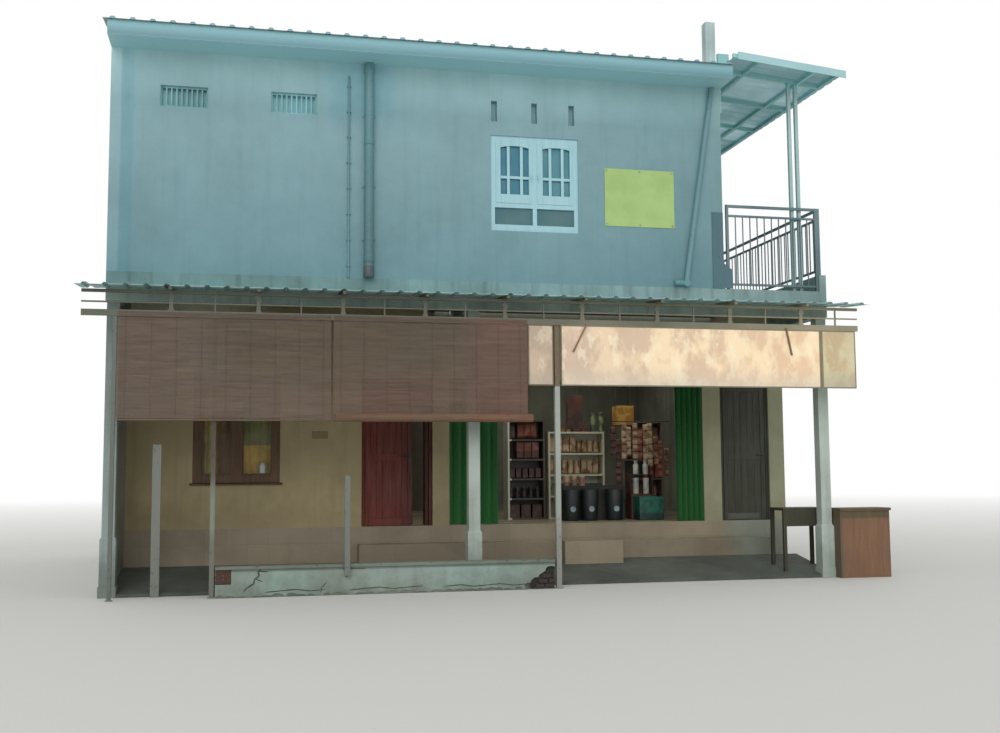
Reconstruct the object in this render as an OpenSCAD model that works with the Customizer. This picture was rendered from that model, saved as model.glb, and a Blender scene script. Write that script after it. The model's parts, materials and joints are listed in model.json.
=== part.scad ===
// Two-storey corner shop house: a set-back shop front under an upper floor on porch columns,
// a side terrace with its canopy, and a thin sheet awning along the street.
// Millimetres. X runs along the street, Y runs into the house, Z is up.
// The origin is on the ground, under the middle of the upper front wall's outer face.

/* [Body] */
// Width of the house along the street
house_width = 10320; // [9600:20:11000]
// Depth from the upper front wall to the back wall
house_depth = 8500; // [7600:50:9600]
// Depth of the open porch under the upper floor
porch_depth = 1550; // [1400:10:1800]
// Thickness of the masonry walls
wall_thick = 150; // [120:10:180]
// Height of the shop floor above the street
plinth_height = 780; // [700:10:900]
// Height of the upper floor's surface
upper_floor_z = 4240; // [4140:10:4400]
// Thickness of the upper floor slab
slab_thick = 150; // [120:10:180]
// Height of the upper storey's front wall, up to the roof sheets
upper_wall_height = 3280; // [3100:10:3500]
// Width of the terrace beside the upper storey
terrace_width = 1640; // [1500:20:1900]

/* [Porch] */
// Side of a square porch column
column_side = 160; // [140:10:180]
// Side of a column's thicker base
column_base_side = 200; // [190:10:240]
// Height of a column's thicker base
column_base_height = 740; // [600:10:900]
// Distance of the middle column's centre left of the middle
middle_column_offset = 245; // [150:5:330]
// Depth of the beams over the columns
beam_depth = 240; // [200:10:300]
// Height of the lower step under the shop floor
step_height = 530; // [480:10:600]
// Going of the lower step
step_going = 320; // [280:10:380]
// Height of the porch floor where it meets the steps
porch_floor_height = 260; // [220:10:300]

/* [Shop front] */
// Height of the door and shop heads above the shop floor
head_height = 2220; // [2100:10:2400]
// Clear width of the shop opening
shop_opening = 4100; // [3900:10:4200]
// Width of the pier between the shop and the red door
door_pier = 255; // [220:5:300]
// Width of the red door's opening with its frame
red_door_opening = 1070; // [1000:10:1150]
// Width of the pier between the shop and the side door
side_pier = 300; // [260:5:340]
// Width of the side door's opening with its frame
side_door_opening = 830; // [780:10:900]
// Thickness of a door leaf
leaf_thick = 40; // [32:1:45]
// Width of a door frame's post
frame_post = 50; // [40:1:60]
// Gap between a door leaf and what is beside it
leaf_gap = 8; // [6:0.5:10]
// Width of the red door's narrow leaf
narrow_leaf = 235; // [200:5:280]
// Radius of a hinge pin
hinge_pin_r = 7; // [5:0.5:7.5]

/* [Windows] */
// Width of the upper window
upper_window_width = 1290; // [1200:10:1400]
// Height of the upper window
upper_window_height = 1380; // [1200:10:1450]
// Height of the upper window's sill above the upper floor
upper_sill = 740; // [680:10:850]
// Width of the ground floor window
ground_window_width = 1240; // [1100:10:1300]
// Height of the ground floor window's sill above the shop floor
ground_sill = 660; // [600:10:750]

/* [Roof] */
// Rise of the roof over one metre of depth
roof_rise = 120; // [80:5:160]
// Overhang of the roof in front of the wall
roof_overhang = 500; // [400:10:600]
// Height of the front fascia
fascia_height = 200; // [180:10:240]
// Thickness of the corrugated roof sheets, crest to trough
sheet_thick = 30; // [25:1:40]

/* [Awning] */
// Distance of the awning's truss in front of the columns
truss_out = 450; // [400:10:500]
// Distance of the awning's sheet edge in front of the columns
awning_out = 700; // [650:10:800]
// Height of the top of the truss
truss_top_z = 3930; // [3880:5:3960]
// Height of the truss
truss_height = 340; // [300:10:380]
// Spacing of the truss struts
strut_pitch = 1100; // [1000:10:1150]

/* [Hidden] */
$fn = 32;

left_x = -house_width / 2;
right_x = house_width / 2;
back_y = house_depth;
front_y = porch_depth;
slab_z = upper_floor_z - slab_thick;
head_z = plinth_height + head_height;
upper_right_x = right_x - terrace_width;
wall_top_z = upper_floor_z + upper_wall_height;

// Places along the shop front, from the right end to the left
right_pier = 260;
right_pier_x = right_x - right_pier;
side_door_x = right_pier_x - side_door_opening;
shop_right_x = side_door_x - side_pier;
shop_left_x = shop_right_x - shop_opening;
red_door_right_x = shop_left_x - door_pier;
red_door_left_x = red_door_right_x - red_door_opening;

// Places of the windows
upper_window_x = upper_right_x - 3510;
upper_window_z = upper_floor_z + upper_sill;
ground_window_x = left_x + 1070;
ground_window_z = plinth_height + ground_sill;
ground_window_height = head_z - ground_window_z;

// The low wall stands under the truss, from the gate to the shop's steps
low_wall_left = left_x + 1460;
low_wall_length = 4465;
low_wall_right = low_wall_left + low_wall_length;
low_wall_thick = 160;
low_wall_height = 360;

// The front of the lower step, which is where the porch floor ends
steps_y = front_y - step_going;

// Things that lie against each other keep this much air where their faces slope
seat_gap = 0.3;

// Column centres along the street, and the columns' centre line
column_centres = [left_x + column_base_side / 2, -middle_column_offset, right_x - column_base_side / 2];
column_y = column_base_side / 2;

// The underside of the roof sheets at a given depth
function roof_z(y) = wall_top_z + y * roof_rise / 1000;

// A box between two opposite corners
module block(low, high) {
    translate(low)
        cube(high - low);
}

// A flat shape given in depth and height, carried along the street
module across(x0, x1, outline) {
    translate([x1, 0, 0])
        rotate([90, 0, -90])
            mirror([1, 0, 0])
                linear_extrude(x1 - x0)
                    polygon(outline);
}

module shop_floor() {
    color("#9a8f7a")
        block([left_x, front_y, 0], [right_x, back_y, plinth_height]);
}

// Two steps up to the shop: a long one, and a shorter block in front of it
step_left_x = red_door_left_x - 60;
step_right_x = right_x - 410;
block_step_x = shop_left_x + 1630;
block_step_width = 900;
block_step_going = 300;
block_step_rise = 15;

module block_step(low, extra) {
    block([block_step_x, steps_y - block_step_going, low],
          [block_step_x + block_step_width, steps_y + extra, step_height + block_step_rise]);
}

module shop_steps() {
    color("#a89878")
        union() {
            block([step_left_x, steps_y, 0], [step_right_x, front_y, step_height]);
            block_step(0, step_going / 2);
        }
}

// The porch floor: a level part behind the low wall, and ramps on both sides of it
porch_edge = 40;
function ramp_z(y) = porch_edge + (porch_floor_height - porch_edge) * y / steps_y;

module porch_floor() {
    level_left = low_wall_left - 20;
    level_right = low_wall_right - 145;
    ramp = [[0, 0], [steps_y, 0], [steps_y, porch_floor_height], [0, porch_edge]];
    color("#6d6a62")
        difference() {
            union() {
                across(left_x, right_x, ramp);
                block([level_left, low_wall_thick - truss_out - 10, 0],
                      [level_right, steps_y, porch_floor_height]);
                block([left_x, steps_y, 0], [step_left_x, front_y, porch_floor_height]);
            }
            column_bases(0);
            block_step(-1, 1);
            block([left_x - 1, column_base_side, -1],
                  [left_x + wall_thick, front_y + 1, porch_floor_height + 1]);
        }
}

module column_bases(extra) {
    for (x = column_centres)
        block([x - column_base_side / 2 - extra, column_y - column_base_side / 2 - extra, -extra],
              [x + column_base_side / 2 + extra, column_y + column_base_side / 2 + extra,
               column_base_height]);
}

module porch_columns() {
    color("#a9b3a9") {
        column_bases(0);
        for (x = column_centres)
            block([x - column_side / 2, column_y - column_side / 2, column_base_height],
                  [x + column_side / 2, column_y + column_side / 2, slab_z - beam_depth]);
    }
}

beam_z = slab_z - beam_depth;

// The beam over the columns, and one back to the shop front from each column
module porch_beams() {
    color("#8d9a96")
        union() {
            block([left_x, 0, beam_z], [right_x, column_base_side, slab_z]);
            for (x = column_centres)
                block([x - column_side / 2, column_base_side / 2, beam_z],
                      [x + column_side / 2, front_y, slab_z]);
        }
}

// The ground floor's front wall stands on the shop floor, with every doorway and window cut through
module ground_front_wall() {
    y0 = front_y - 1;
    y1 = front_y + wall_thick + 1;
    color("#b8a782")
        difference() {
            block([left_x + wall_thick, front_y, plinth_height], [right_x, front_y + wall_thick, slab_z]);
            block([ground_window_x, y0, ground_window_z],
                  [ground_window_x + ground_window_width, y1, head_z]);
            block([red_door_left_x, y0, plinth_height - 1], [red_door_right_x, y1, head_z]);
            block([shop_left_x, y0, plinth_height - 1], [shop_right_x, y1, head_z]);
            block([side_door_x, y0, plinth_height - 1], [right_pier_x, y1, head_z]);
        }
}

// The left wall runs on to the columns, where it stands on the ground
module left_ground_wall() {
    color("#8f9288")
        union() {
            block([left_x, column_base_side, 0], [left_x + wall_thick, front_y, beam_z]);
            block([left_x, front_y, plinth_height], [left_x + wall_thick, back_y - wall_thick, slab_z]);
        }
}

module right_ground_wall() {
    color("#8f9288")
        block([right_x - wall_thick, front_y + wall_thick, plinth_height],
              [right_x, back_y - wall_thick, slab_z]);
}

module back_ground_wall() {
    color("#8f9288")
        difference() {
            block([left_x, back_y - wall_thick, plinth_height], [right_x, back_y, slab_z]);
            block([ground_window_x, back_y - wall_thick - 1, ground_window_z],
                  [ground_window_x + ground_window_width, back_y + 1, head_z]);
        }
}

module upper_floor_slab() {
    color("#7f8f8c")
        block([left_x, 0, slab_z], [right_x, back_y, upper_floor_z]);
}

// The kerb along the terrace's outer edge
kerb_x = right_x - 110;
kerb_height = 250;
module terrace_kerb() {
    color("#9aa8a4")
        block([kerb_x, 0, upper_floor_z], [right_x, back_y, upper_floor_z + kerb_height]);
}

// The narrow air slots over the upper window
slot_width = 85;
slot_z = upper_window_z + upper_window_height + 200;
slot_height = 300;
module air_slots(y0, y1) {
    for (along = [10, 600, 1155])
        block([upper_window_x + along, y0, slot_z],
              [upper_window_x + along + slot_width, y1, slot_z + slot_height]);
}

// The two air vents high in the upper front wall
vent_xs = [left_x + 640, left_x + 2100];
vent_width = 620;
vent_height = 290;
vent_z = upper_floor_z + 2260;
module air_vents(y0, y1) {
    for (x = vent_xs)
        block([x, y0, vent_z], [x + vent_width, y1, vent_z + vent_height]);
}

// A side wall's outline, with its top along the roof
function side_outline() = [
    [wall_thick, upper_floor_z],
    [back_y - wall_thick, upper_floor_z],
    [back_y - wall_thick, roof_z(back_y - wall_thick)],
    [wall_thick, roof_z(wall_thick)]
];

module upper_window_hole(y0, y1) {
    block([upper_window_x, y0, upper_window_z],
          [upper_window_x + upper_window_width, y1, upper_window_z + upper_window_height]);
}

// A storey-high wall along the street, with its top along the roof
module street_wall(y0, y1) {
    across(left_x, upper_right_x, [
        [y0, upper_floor_z],
        [y1, upper_floor_z],
        [y1, roof_z(y1)],
        [y0, roof_z(y0)]
    ]);
}

module upper_front_wall() {
    color("#7da0a3")
        difference() {
            street_wall(0, wall_thick);
            upper_window_hole(-1, wall_thick + 1);
            air_slots(-1, wall_thick + 1);
            air_vents(-1, wall_thick + 1);
            stub_block(0);
        }
}

// The barred blocks in the two air vents
module vent_grilles() {
    bars = 9;
    color("#55676a")
        difference() {
            air_vents(40, 100);
            for (x = vent_xs)
                for (i = [0 : bars - 1])
                    block([x + 20 + i * (vent_width - 20) / bars, 39, vent_z + 25],
                          [x + (i + 1) * (vent_width - 20) / bars, 101, vent_z + vent_height - 25]);
        }
}

module upper_left_wall() {
    color("#7da0a3")
        across(left_x, left_x + wall_thick, side_outline());
}

// The door from the upper room to the terrace
terrace_door_y = 1800;
terrace_door_width = 900;
terrace_door_height = 2120;
terrace_door_thick = 70;

module upper_right_wall() {
    color("#7da0a3")
        difference() {
            across(upper_right_x - wall_thick, upper_right_x, side_outline());
            block([upper_right_x - wall_thick - 1, terrace_door_y, upper_floor_z - 1],
                  [upper_right_x + 1, terrace_door_y + terrace_door_width,
                   upper_floor_z + terrace_door_height]);
        }
}

module upper_back_wall() {
    color("#7da0a3")
        difference() {
            street_wall(back_y - wall_thick, back_y);
            upper_window_hole(back_y - wall_thick - 1, back_y + 1);
        }
}

// The column's stub that stands up through the roof's corner
module stub_block(extra) {
    block([upper_right_x - 200 - extra, -extra, wall_top_z - 80],
          [upper_right_x - 50 + extra, wall_thick + extra, wall_top_z + 770]);
}

module corner_stub() {
    color("#6f7f7c")
        stub_block(0);
}

// A window of two casements as one joined frame, over two fixed lights where low_light is given
module window_frame(width, height, bar, foot, low_light) {
    middle = width / 2;
    leaf = bar * 0.9;
    casement_z = low_light > 0 ? foot + low_light + bar : foot;
    difference() {
        cube([width, 70, height]);
        for (x = [bar, middle + bar / 2]) {
            if (low_light > 0)
                translate([x, -1, foot])
                    cube([middle - bar * 1.5, 72, low_light]);
            translate([x + leaf, -1, casement_z + leaf])
                cube([middle - bar * 1.5 - 2 * leaf, 72, height - bar - casement_z - 2 * leaf]);
        }
    }
}

module window_panes(width, height, bar, foot, low_light) {
    middle = width / 2;
    leaf = bar * 0.9;
    casement_z = low_light > 0 ? foot + low_light + bar : foot;
    for (x = [bar, middle + bar / 2]) {
        if (low_light > 0)
            translate([x, 32, foot])
                cube([middle - bar * 1.5, 6, low_light]);
        translate([x + leaf, 32, casement_z + leaf])
            cube([middle - bar * 1.5 - 2 * leaf, 6, height - bar - casement_z - 2 * leaf]);
    }
}

upper_bar = 60;
upper_foot = 95;
upper_low_light = 245;
ground_bar = 70;
ground_low_light = 0;

module upper_window_frames() {
    color("#dfe8e6")
        for (y = [20, back_y - 90])
            translate([upper_window_x, y, upper_window_z])
                window_frame(upper_window_width, upper_window_height, upper_bar,
                             upper_foot, upper_low_light);
}

module ground_window_frames() {
    color("#5a3220")
        for (y = [front_y + 20, back_y - 90])
            translate([ground_window_x, y, ground_window_z])
                window_frame(ground_window_width, ground_window_height, ground_bar,
                             ground_bar, ground_low_light);
}

module window_glass() {
    color("#5d7480") {
        for (y = [20, back_y - 90])
            translate([upper_window_x, y, upper_window_z])
                window_panes(upper_window_width, upper_window_height, upper_bar,
                             upper_foot, upper_low_light);
        for (y = [front_y + 20, back_y - 90])
            translate([ground_window_x, y, ground_window_z])
                window_panes(ground_window_width, ground_window_height, ground_bar,
                             ground_bar, ground_low_light);
    }
}

module terrace_door() {
    color("#4a3326")
        block([upper_right_x - 30 - terrace_door_thick, terrace_door_y, upper_floor_z],
              [upper_right_x - 30, terrace_door_y + terrace_door_width,
               upper_floor_z + terrace_door_height]);
}

// The roof: one slope that rises to the back, on purlins between the side walls
roof_side = 60;
module main_roof() {
    front = -roof_overhang - 40;
    back = back_y + 250;
    color("#8b938f")
        difference() {
            across(left_x - roof_side, upper_right_x + roof_side, [
                [front, roof_z(front)],
                [back, roof_z(back)],
                [back, roof_z(back) + sheet_thick],
                [front, roof_z(front) + sheet_thick]
            ]);
            stub_block(0);
            // A notch for the canopy's front upright
            block([upper_right_x, canopy_post_y - 1, canopy_upright_foot],
                  [upper_right_x + roof_side + 1, canopy_post_y + canopy_bar + 1, canopy_z]);
        }
}

purlin = 80;
purlin_width = 60;
module roof_purlins() {
    first = wall_thick + 40;
    last = back_y - wall_thick - 100;
    color("#5f6663")
        for (i = [0 : 7])
            let (y = first + i * (last - first) / 7)
                across(left_x + wall_thick, upper_right_x - wall_thick, [
                    [y, roof_z(y) - purlin],
                    [y + purlin_width, roof_z(y + purlin_width) - purlin],
                    [y + purlin_width, roof_z(y + purlin_width) - seat_gap],
                    [y, roof_z(y) - seat_gap]
                ]);
}

// The boxed eave: a fascia board and its soffit
module eave_box() {
    fascia_top = roof_z(-roof_overhang);
    board = 20;
    color("#8fa5a5")
        across(left_x, upper_right_x, [
            [-roof_overhang, fascia_top - fascia_height],
            [0, fascia_top - fascia_height],
            [0, fascia_top - fascia_height + board],
            [-roof_overhang + board, fascia_top - fascia_height + board],
            [-roof_overhang + board, roof_z(-roof_overhang + board)],
            [-roof_overhang, fascia_top]
        ]);
}

// The terrace canopy: a sheet that falls to the right, on a light steel frame
canopy_out = 140;
canopy_x = right_x + canopy_out;
canopy_front_y = -550;
canopy_z = wall_top_z + 105;
canopy_fall = 0.1;
canopy_left_x = upper_right_x + 65;
canopy_edge_drop = 110;
canopy_edge_thick = 12;
rear_setback = 90;
function canopy_line(x) = canopy_z - (x - upper_right_x) * canopy_fall;

module canopy_slope(x0, x1, y0, y1, low, high) {
    translate([0, y1, 0])
        rotate([90, 0, 0])
            linear_extrude(y1 - y0)
                polygon([
                    [x0, canopy_line(x0) + low],
                    [x1, canopy_line(x1) + low],
                    [x1, canopy_line(x1) + high],
                    [x0, canopy_line(x0) + high]
                ]);
}

// The bent-down flashing that closes the front edge
module canopy_edge() {
    canopy_slope(canopy_left_x, canopy_x, canopy_front_y, canopy_front_y + canopy_edge_thick,
                 -canopy_edge_drop, 1);
}

// The front sheets reach further out than the rear ones
canopy_step_y = 2360;
module canopy_roof() {
    color("#b9c4c2")
        difference() {
            union() {
                canopy_slope(canopy_left_x, canopy_x, canopy_front_y, canopy_step_y, 0, sheet_thick);
                canopy_slope(canopy_left_x, canopy_x - rear_setback, canopy_step_y, back_y, 0, sheet_thick);
                canopy_edge();
            }
            canopy_stump(1);
        }
}

canopy_post_y = 60;
canopy_bar = 50;
canopy_bar_depth = 60;
canopy_last_y = back_y - 140;
canopy_rafters = [
    canopy_front_y + 20, canopy_post_y, 1200, canopy_step_y - 10, 3800, 5300, 6800, canopy_last_y
];
canopy_upright_foot = wall_top_z - 600;

// Uprights on the wall's outer face carry the rafters that pass above its top
module canopy_uprights() {
    for (y = [canopy_post_y, 1200])
        block([upper_right_x, y, canopy_upright_foot],
              [upper_right_x + canopy_bar, y + canopy_bar, canopy_line(upper_right_x + canopy_bar) - 20]);
}

module canopy_frame() {
    color("#56605e") {
        for (y = canopy_rafters)
            canopy_slope(upper_right_x, canopy_x - rear_setback, y, y + canopy_bar, -canopy_bar_depth, 0);
        for (x = [upper_right_x + 400, canopy_x - 500, canopy_x - 140])
            canopy_slope(x, x + canopy_bar, canopy_front_y + 20, canopy_last_y + canopy_bar,
                         -canopy_bar_depth, -1);
        canopy_uprights();
        canopy_stump(0);
    }
}

// The end of a post that stands up through the sheet, beside the wall's corner
module canopy_stump(extra) {
    block([upper_right_x + 10 - extra, canopy_post_y - extra, canopy_z - canopy_bar_depth],
          [upper_right_x + 190 + extra, canopy_post_y + canopy_bar + extra, canopy_z + 210]);
}

// A pair of posts at the front, and single ones further back
canopy_post_xs = [kerb_x - 400, kerb_x - 285];
module canopy_post(x, y) {
    block([x, y, upper_floor_z],
          [x + canopy_bar, y + canopy_bar, canopy_line(x + canopy_bar) - canopy_bar_depth]);
}

module canopy_posts() {
    color("#6c7977") {
        for (x = canopy_post_xs)
            canopy_post(x, canopy_post_y);
        for (y = [canopy_rafters[4], canopy_last_y])
            canopy_post(canopy_post_xs[1], y);
    }
}

// Railings of square bars
rail_top_z = 5510;
rail_gap = 150;
rail_pitch = 120;
bar_side = 14;

module rail_run(length, foot_z) {
    rails = rail_top_z - foot_z;
    cube([40, 40, rails]);
    translate([length - 40, 0, 0])
        cube([40, 40, rails]);
    for (z = [rails - 40, rails - rail_gap - 30, 60])
        translate([0, 5, z])
            cube([length, 30, z == rails - 40 ? 40 : 30]);
    count = floor((length - 80) / rail_pitch);
    for (i = [1 : count])
        translate([40 + (length - 80) * i / (count + 1) - bar_side / 2, 13, 60])
            cube([bar_side, bar_side, rails - rail_gap - 60]);
}

module terrace_rail_front() {
    color("#3f4a4a")
        translate([upper_right_x + 60, 15, upper_floor_z])
            rail_run(kerb_x - upper_right_x - 60, upper_floor_z);
}

module terrace_rail_side() {
    side_foot = upper_floor_z + kerb_height;
    color("#3f4a4a") {
        translate([kerb_x + 40, 15, side_foot])
            rotate([0, 0, 90])
                rail_run(back_y - 30, side_foot);
        translate([upper_right_x + 10, back_y - 55, upper_floor_z])
            rail_run(kerb_x - upper_right_x - 10, upper_floor_z);
    }
}

// The street awning: a sheet on a flat truss, tied back to the upper floor's edge
awning_lap = 300;
awning_left = left_x - awning_lap;
awning_right = right_x + awning_lap;
chord = 40;
awning_sheet_z = truss_top_z;
awning_rise = 0.08;
function awning_line(y) = awning_sheet_z + (y + truss_out) * awning_rise;

module awning_roof() {
    color("#7b8b86")
        across(awning_left, awning_right, [
            [-awning_out, awning_line(-awning_out) + chord],
            [0, awning_line(0) + chord],
            [0, awning_line(0) + chord + sheet_thick],
            [-awning_out, awning_line(-awning_out) + chord + sheet_thick]
        ]);
}

truss_foot_z = truss_top_z - truss_height;
first_strut = left_x + 860;
chord_left = awning_left + 60;
chord_right = awning_right - 60;
last_strut = floor((chord_right - first_strut - strut_pitch / 2) / strut_pitch);
strut_xs = [for (i = [0 : last_strut]) first_strut + i * strut_pitch];

module awning_truss() {
    y0 = -truss_out;
    bottom = truss_foot_z;
    color("#6f7a72") {
        block([chord_left, y0, bottom], [chord_right, y0 + chord, bottom + 2 * chord]);
        block([chord_left, y0, truss_top_z - chord], [chord_right, y0 + chord, truss_top_z]);
        block([chord_left, y0 + 10, bottom + truss_height / 2],
              [chord_right, y0 + 30, bottom + truss_height / 2 + 20]);
        for (x = strut_xs)
            block([x - 25, y0, bottom], [x + 25, y0 + chord, truss_top_z]);
        for (x = strut_xs)
            block([x + strut_pitch / 2 - 10, y0 + 10, bottom],
                  [x + strut_pitch / 2 + 10, y0 + 30, truss_top_z]);
    }
}

// Sloping bars that carry the sheet from the truss to the front beam's face
module awning_bearers() {
    color("#6f7a72")
        for (x = strut_xs)
            across(x - 20, x + 20, [
                [-awning_out + 30, awning_line(-awning_out + 30)],
                [-truss_out, awning_line(-truss_out)],
                [-truss_out + chord, awning_line(-truss_out)],
                [0, awning_line(-chord)],
                [0, awning_line(0) + chord],
                [-awning_out + 30, awning_line(-awning_out + 30) + chord]
            ]);
}

// Thin tube posts under the truss: each has its place, its side and its set-back
module awning_posts() {
    color("#8d9791")
        for (post = [[left_x + 175, 50, 0], [low_wall_left - 45, 60, 20], [low_wall_right + 65, 70, 0]])
            block([post[0] - post[1] / 2, -truss_out + post[2], 0],
                  [post[0] + post[1] / 2, -truss_out + post[2] + post[1], truss_foot_z]);
}

low_wall_cap = 40;
module low_wall() {
    back = low_wall_thick - truss_out - 10;
    color("#a4b0aa") {
        block([low_wall_left, back - low_wall_thick, 0], [low_wall_right, back, low_wall_height]);
        block([low_wall_left, back - low_wall_thick - 20, low_wall_height],
              [low_wall_right, back, low_wall_height + low_wall_cap]);
    }
}

// The boarded counter beside the right column, and the table that carries it on behind the column
counter_length = 800;
counter_height = 970;
counter_top = 40;
table_length = 700;
table_depth = 450;
table_apron = 230;
table_leg = 50;
table_y = column_base_side + 10;

module table_legs(x) {
    for (y = [table_y, table_y + table_depth - table_leg])
        across(x, x + table_leg, [
            [y, ramp_z(y) + seat_gap],
            [y + table_leg, ramp_z(y + table_leg) + seat_gap],
            [y + table_leg, counter_height],
            [y, counter_height]
        ]);
}

module counter_wall() {
    table_x = right_x - table_length;
    color("#80593c") {
        block([right_x, -180, 0], [right_x + counter_length, 160, counter_height]);
        block([right_x, -200, counter_height],
              [right_x + counter_length + 20, 180, counter_height + counter_top]);
        table_legs(table_x);
        table_legs(right_x - table_leg - 10);
        block([table_x, table_y, counter_height - table_apron],
              [right_x - 10, table_y + 25, counter_height]);
        block([table_x, table_y, counter_height],
              [right_x - 10, table_y + table_depth, counter_height + counter_top]);
    }
}

// The blinds end where the first sign panel starts
blind_end = low_wall_right - 355;

// Three bare sign panels hang under the truss
sign_foot_z = 2750;
sign_thick = 35;
module signboard() {
    main_end = right_x - 370;
    color("#d9c4ad")
        for (span = [
            [blind_end + 10, blind_end + 370],
            [low_wall_right + 120, main_end],
            [main_end + 25, right_x + 190]
        ])
            block([span[0], -truss_out, sign_foot_z], [span[1], -truss_out + sign_thick, truss_foot_z]);
}

// Two slanting brackets from the truss's foot down over the main panel
module sign_arms() {
    reach = 370;
    color("#3c3c3a")
        for (arm = [[low_wall_right + 495, -200], [right_x - 905, 80]])
            translate([0, -truss_out, 0])
                rotate([90, 0, 0])
                    linear_extrude(20)
                        polygon([
                            [arm[0] - 12, truss_foot_z + 20],
                            [arm[0] + 12, truss_foot_z + 20],
                            [arm[0] + 12 + arm[1], truss_foot_z - reach],
                            [arm[0] - 12 + arm[1], truss_foot_z - reach]
                        ]);
}

// Two roll-up blinds hang under the truss
blind_foot_z = 2250;
blind_thick = 15;
module blinds() {
    parting = left_x + 2920;
    color("#6a584d")
        for (span = [[left_x + 210, parting - 15], [parting + 15, blind_end]])
            block([span[0], -truss_out, blind_foot_z], [span[1], -truss_out + blind_thick, truss_foot_z]);
}

// Door frames: two posts and a head
module door_frame(x0, x1, y0, y1) {
    block([x0, y0, plinth_height], [x0 + frame_post, y1, head_z]);
    block([x1 - frame_post, y0, plinth_height], [x1, y1, head_z]);
    block([x0 + frame_post, y0, head_z - frame_post], [x1 - frame_post, y1, head_z]);
}

leaf_foot = plinth_height + 8;
leaf_top = head_z - frame_post - leaf_gap;
leaf_y = front_y + 50;
hinge_y = leaf_y + leaf_thick;
red_clear_left = red_door_left_x + frame_post;
red_clear_right = red_door_right_x - frame_post;
side_clear_left = side_door_x + frame_post;
side_clear_right = right_pier_x - frame_post;
hinge_length = 90;
pin_slack = 0.3;
hinge_feet = [leaf_foot + 180, leaf_foot + 980, leaf_top - 180 - hinge_length];

// Three hinge pins on a frame post, each on a short arm; side is 1 where the post is on the left
module hinge_pins(x, side) {
    for (z = hinge_feet)
        translate([x, hinge_y, z]) {
            cylinder(r = hinge_pin_r, h = hinge_length);
            translate([side > 0 ? -leaf_gap : 3, -3, 0])
                cube([leaf_gap - 3, 6, hinge_length]);
        }
}

// The round notches in a leaf's corner that turn on the pins
module hinge_notches(x) {
    for (z = hinge_feet)
        translate([x, hinge_y, z - 1])
            cylinder(r = hinge_pin_r + pin_slack, h = hinge_length + 2);
}

module door_frames() {
    near = front_y + 40;
    far = front_y + 130;
    color("#5c1f16") {
        door_frame(red_door_left_x, red_door_right_x, near, far);
        hinge_pins(red_clear_left + leaf_gap, 1);
        hinge_pins(red_clear_right - leaf_gap, -1);
        door_frame(side_door_x, right_pier_x, near, far);
        hinge_pins(side_clear_left + leaf_gap, 1);
    }
}

// The wide leaf is shut, and its hinge is on the left
module red_door_wide_leaf() {
    color("#6e2419")
        difference() {
            block([red_clear_left + leaf_gap, leaf_y, leaf_foot],
                  [red_clear_right - narrow_leaf - 2 * leaf_gap, hinge_y, leaf_top]);
            hinge_notches(red_clear_left + leaf_gap);
        }
}

// The narrow leaf stands open, square to the wall
module red_door_narrow_leaf() {
    color("#6e2419")
        difference() {
            block([red_clear_right - leaf_gap - leaf_thick, hinge_y, leaf_foot],
                  [red_clear_right - leaf_gap, hinge_y + narrow_leaf, leaf_top]);
            hinge_notches(red_clear_right - leaf_gap);
        }
}

module side_door_leaf() {
    color("#2e2b28")
        difference() {
            block([side_clear_left + leaf_gap, leaf_y, leaf_foot],
                  [side_clear_right - leaf_gap, hinge_y, leaf_top]);
            hinge_notches(side_clear_left + leaf_gap);
        }
}

// A folded stack of narrow steel slats, as one zigzag; the left one isn't pushed fully together
fold_depth = 110;
fold_pitch = 45;
loose_fold_pitch = 75;
folds = 10;
module fold_stack(x, pitch, count) {
    thick = 12;
    near = [for (i = [0 : count]) [x + i * pitch, front_y + 20 + (i % 2) * fold_depth]];
    far = [for (i = [count : -1 : 0]) [x + i * pitch, front_y + 20 + (i % 2) * fold_depth + thick]];
    translate([0, 0, plinth_height + 6])
        linear_extrude(head_height - 66)
            polygon(concat(near, far));
}

module folding_doors() {
    color("#1d4a24") {
        fold_stack(shop_left_x + 5, loose_fold_pitch, folds);
        fold_stack(shop_right_x - 5 - fold_pitch * folds, fold_pitch, folds);
    }
}

module folding_door_track() {
    color("#39433b")
        block([shop_left_x, front_y + 20, head_z - 60], [shop_right_x, front_y + 142, head_z]);
}

// A bare cloth banner on the upper wall
banner_width = 1065;
banner_height = 850;
banner_thick = 8;
module banner() {
    x = upper_right_x - 1825;
    z = upper_floor_z + 870;
    color("#b3c150")
        block([x, -banner_thick, z], [x + banner_width, 0, z + banner_height]);
}

// Rainwater pipes from the eave: a wide plumb one, and a thin one that leans to an elbow.
// A slim conduit runs up beside the wide one.
eave_z = roof_z(-roof_overhang) - fascia_height;
wide_pipe = 130;
thin_pipe = 80;
conduit = 28;

module leaning_pipe(from, to, size) {
    run = to - from;
    translate(from)
        rotate([0, atan2(run[0], run[2]), 0])
            cylinder(d = size, h = norm(run));
}

// The thin pipe is held off the wall by the flat fitting at its elbow
module downpipes() {
    pipe_foot = 60;
    off_wall = 2;
    pipe_y = -thin_pipe / 2 - off_wall;
    top = [upper_right_x - 150, pipe_y, eave_z - thin_pipe / 10];
    bend = [upper_right_x - 610, pipe_y, upper_floor_z + pipe_foot];
    toe = [upper_right_x - 790, pipe_y, upper_floor_z + pipe_foot];
    color("#5f7577") {
        translate([left_x + 3435, -wide_pipe / 2, upper_floor_z])
            cylinder(d = wide_pipe, h = eave_z - upper_floor_z);
        translate([left_x + 3160, -conduit / 2, upper_floor_z])
            cylinder(d = conduit, h = upper_wall_height - 440);
        leaning_pipe(bend, top, thin_pipe);
        leaning_pipe(bend, toe, thin_pipe);
        translate([bend[0], 0, bend[2]])
            rotate([90, 0, 0])
                cylinder(d = thin_pipe + 24, h = thin_pipe + 2 * off_wall);
    }
}

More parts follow.
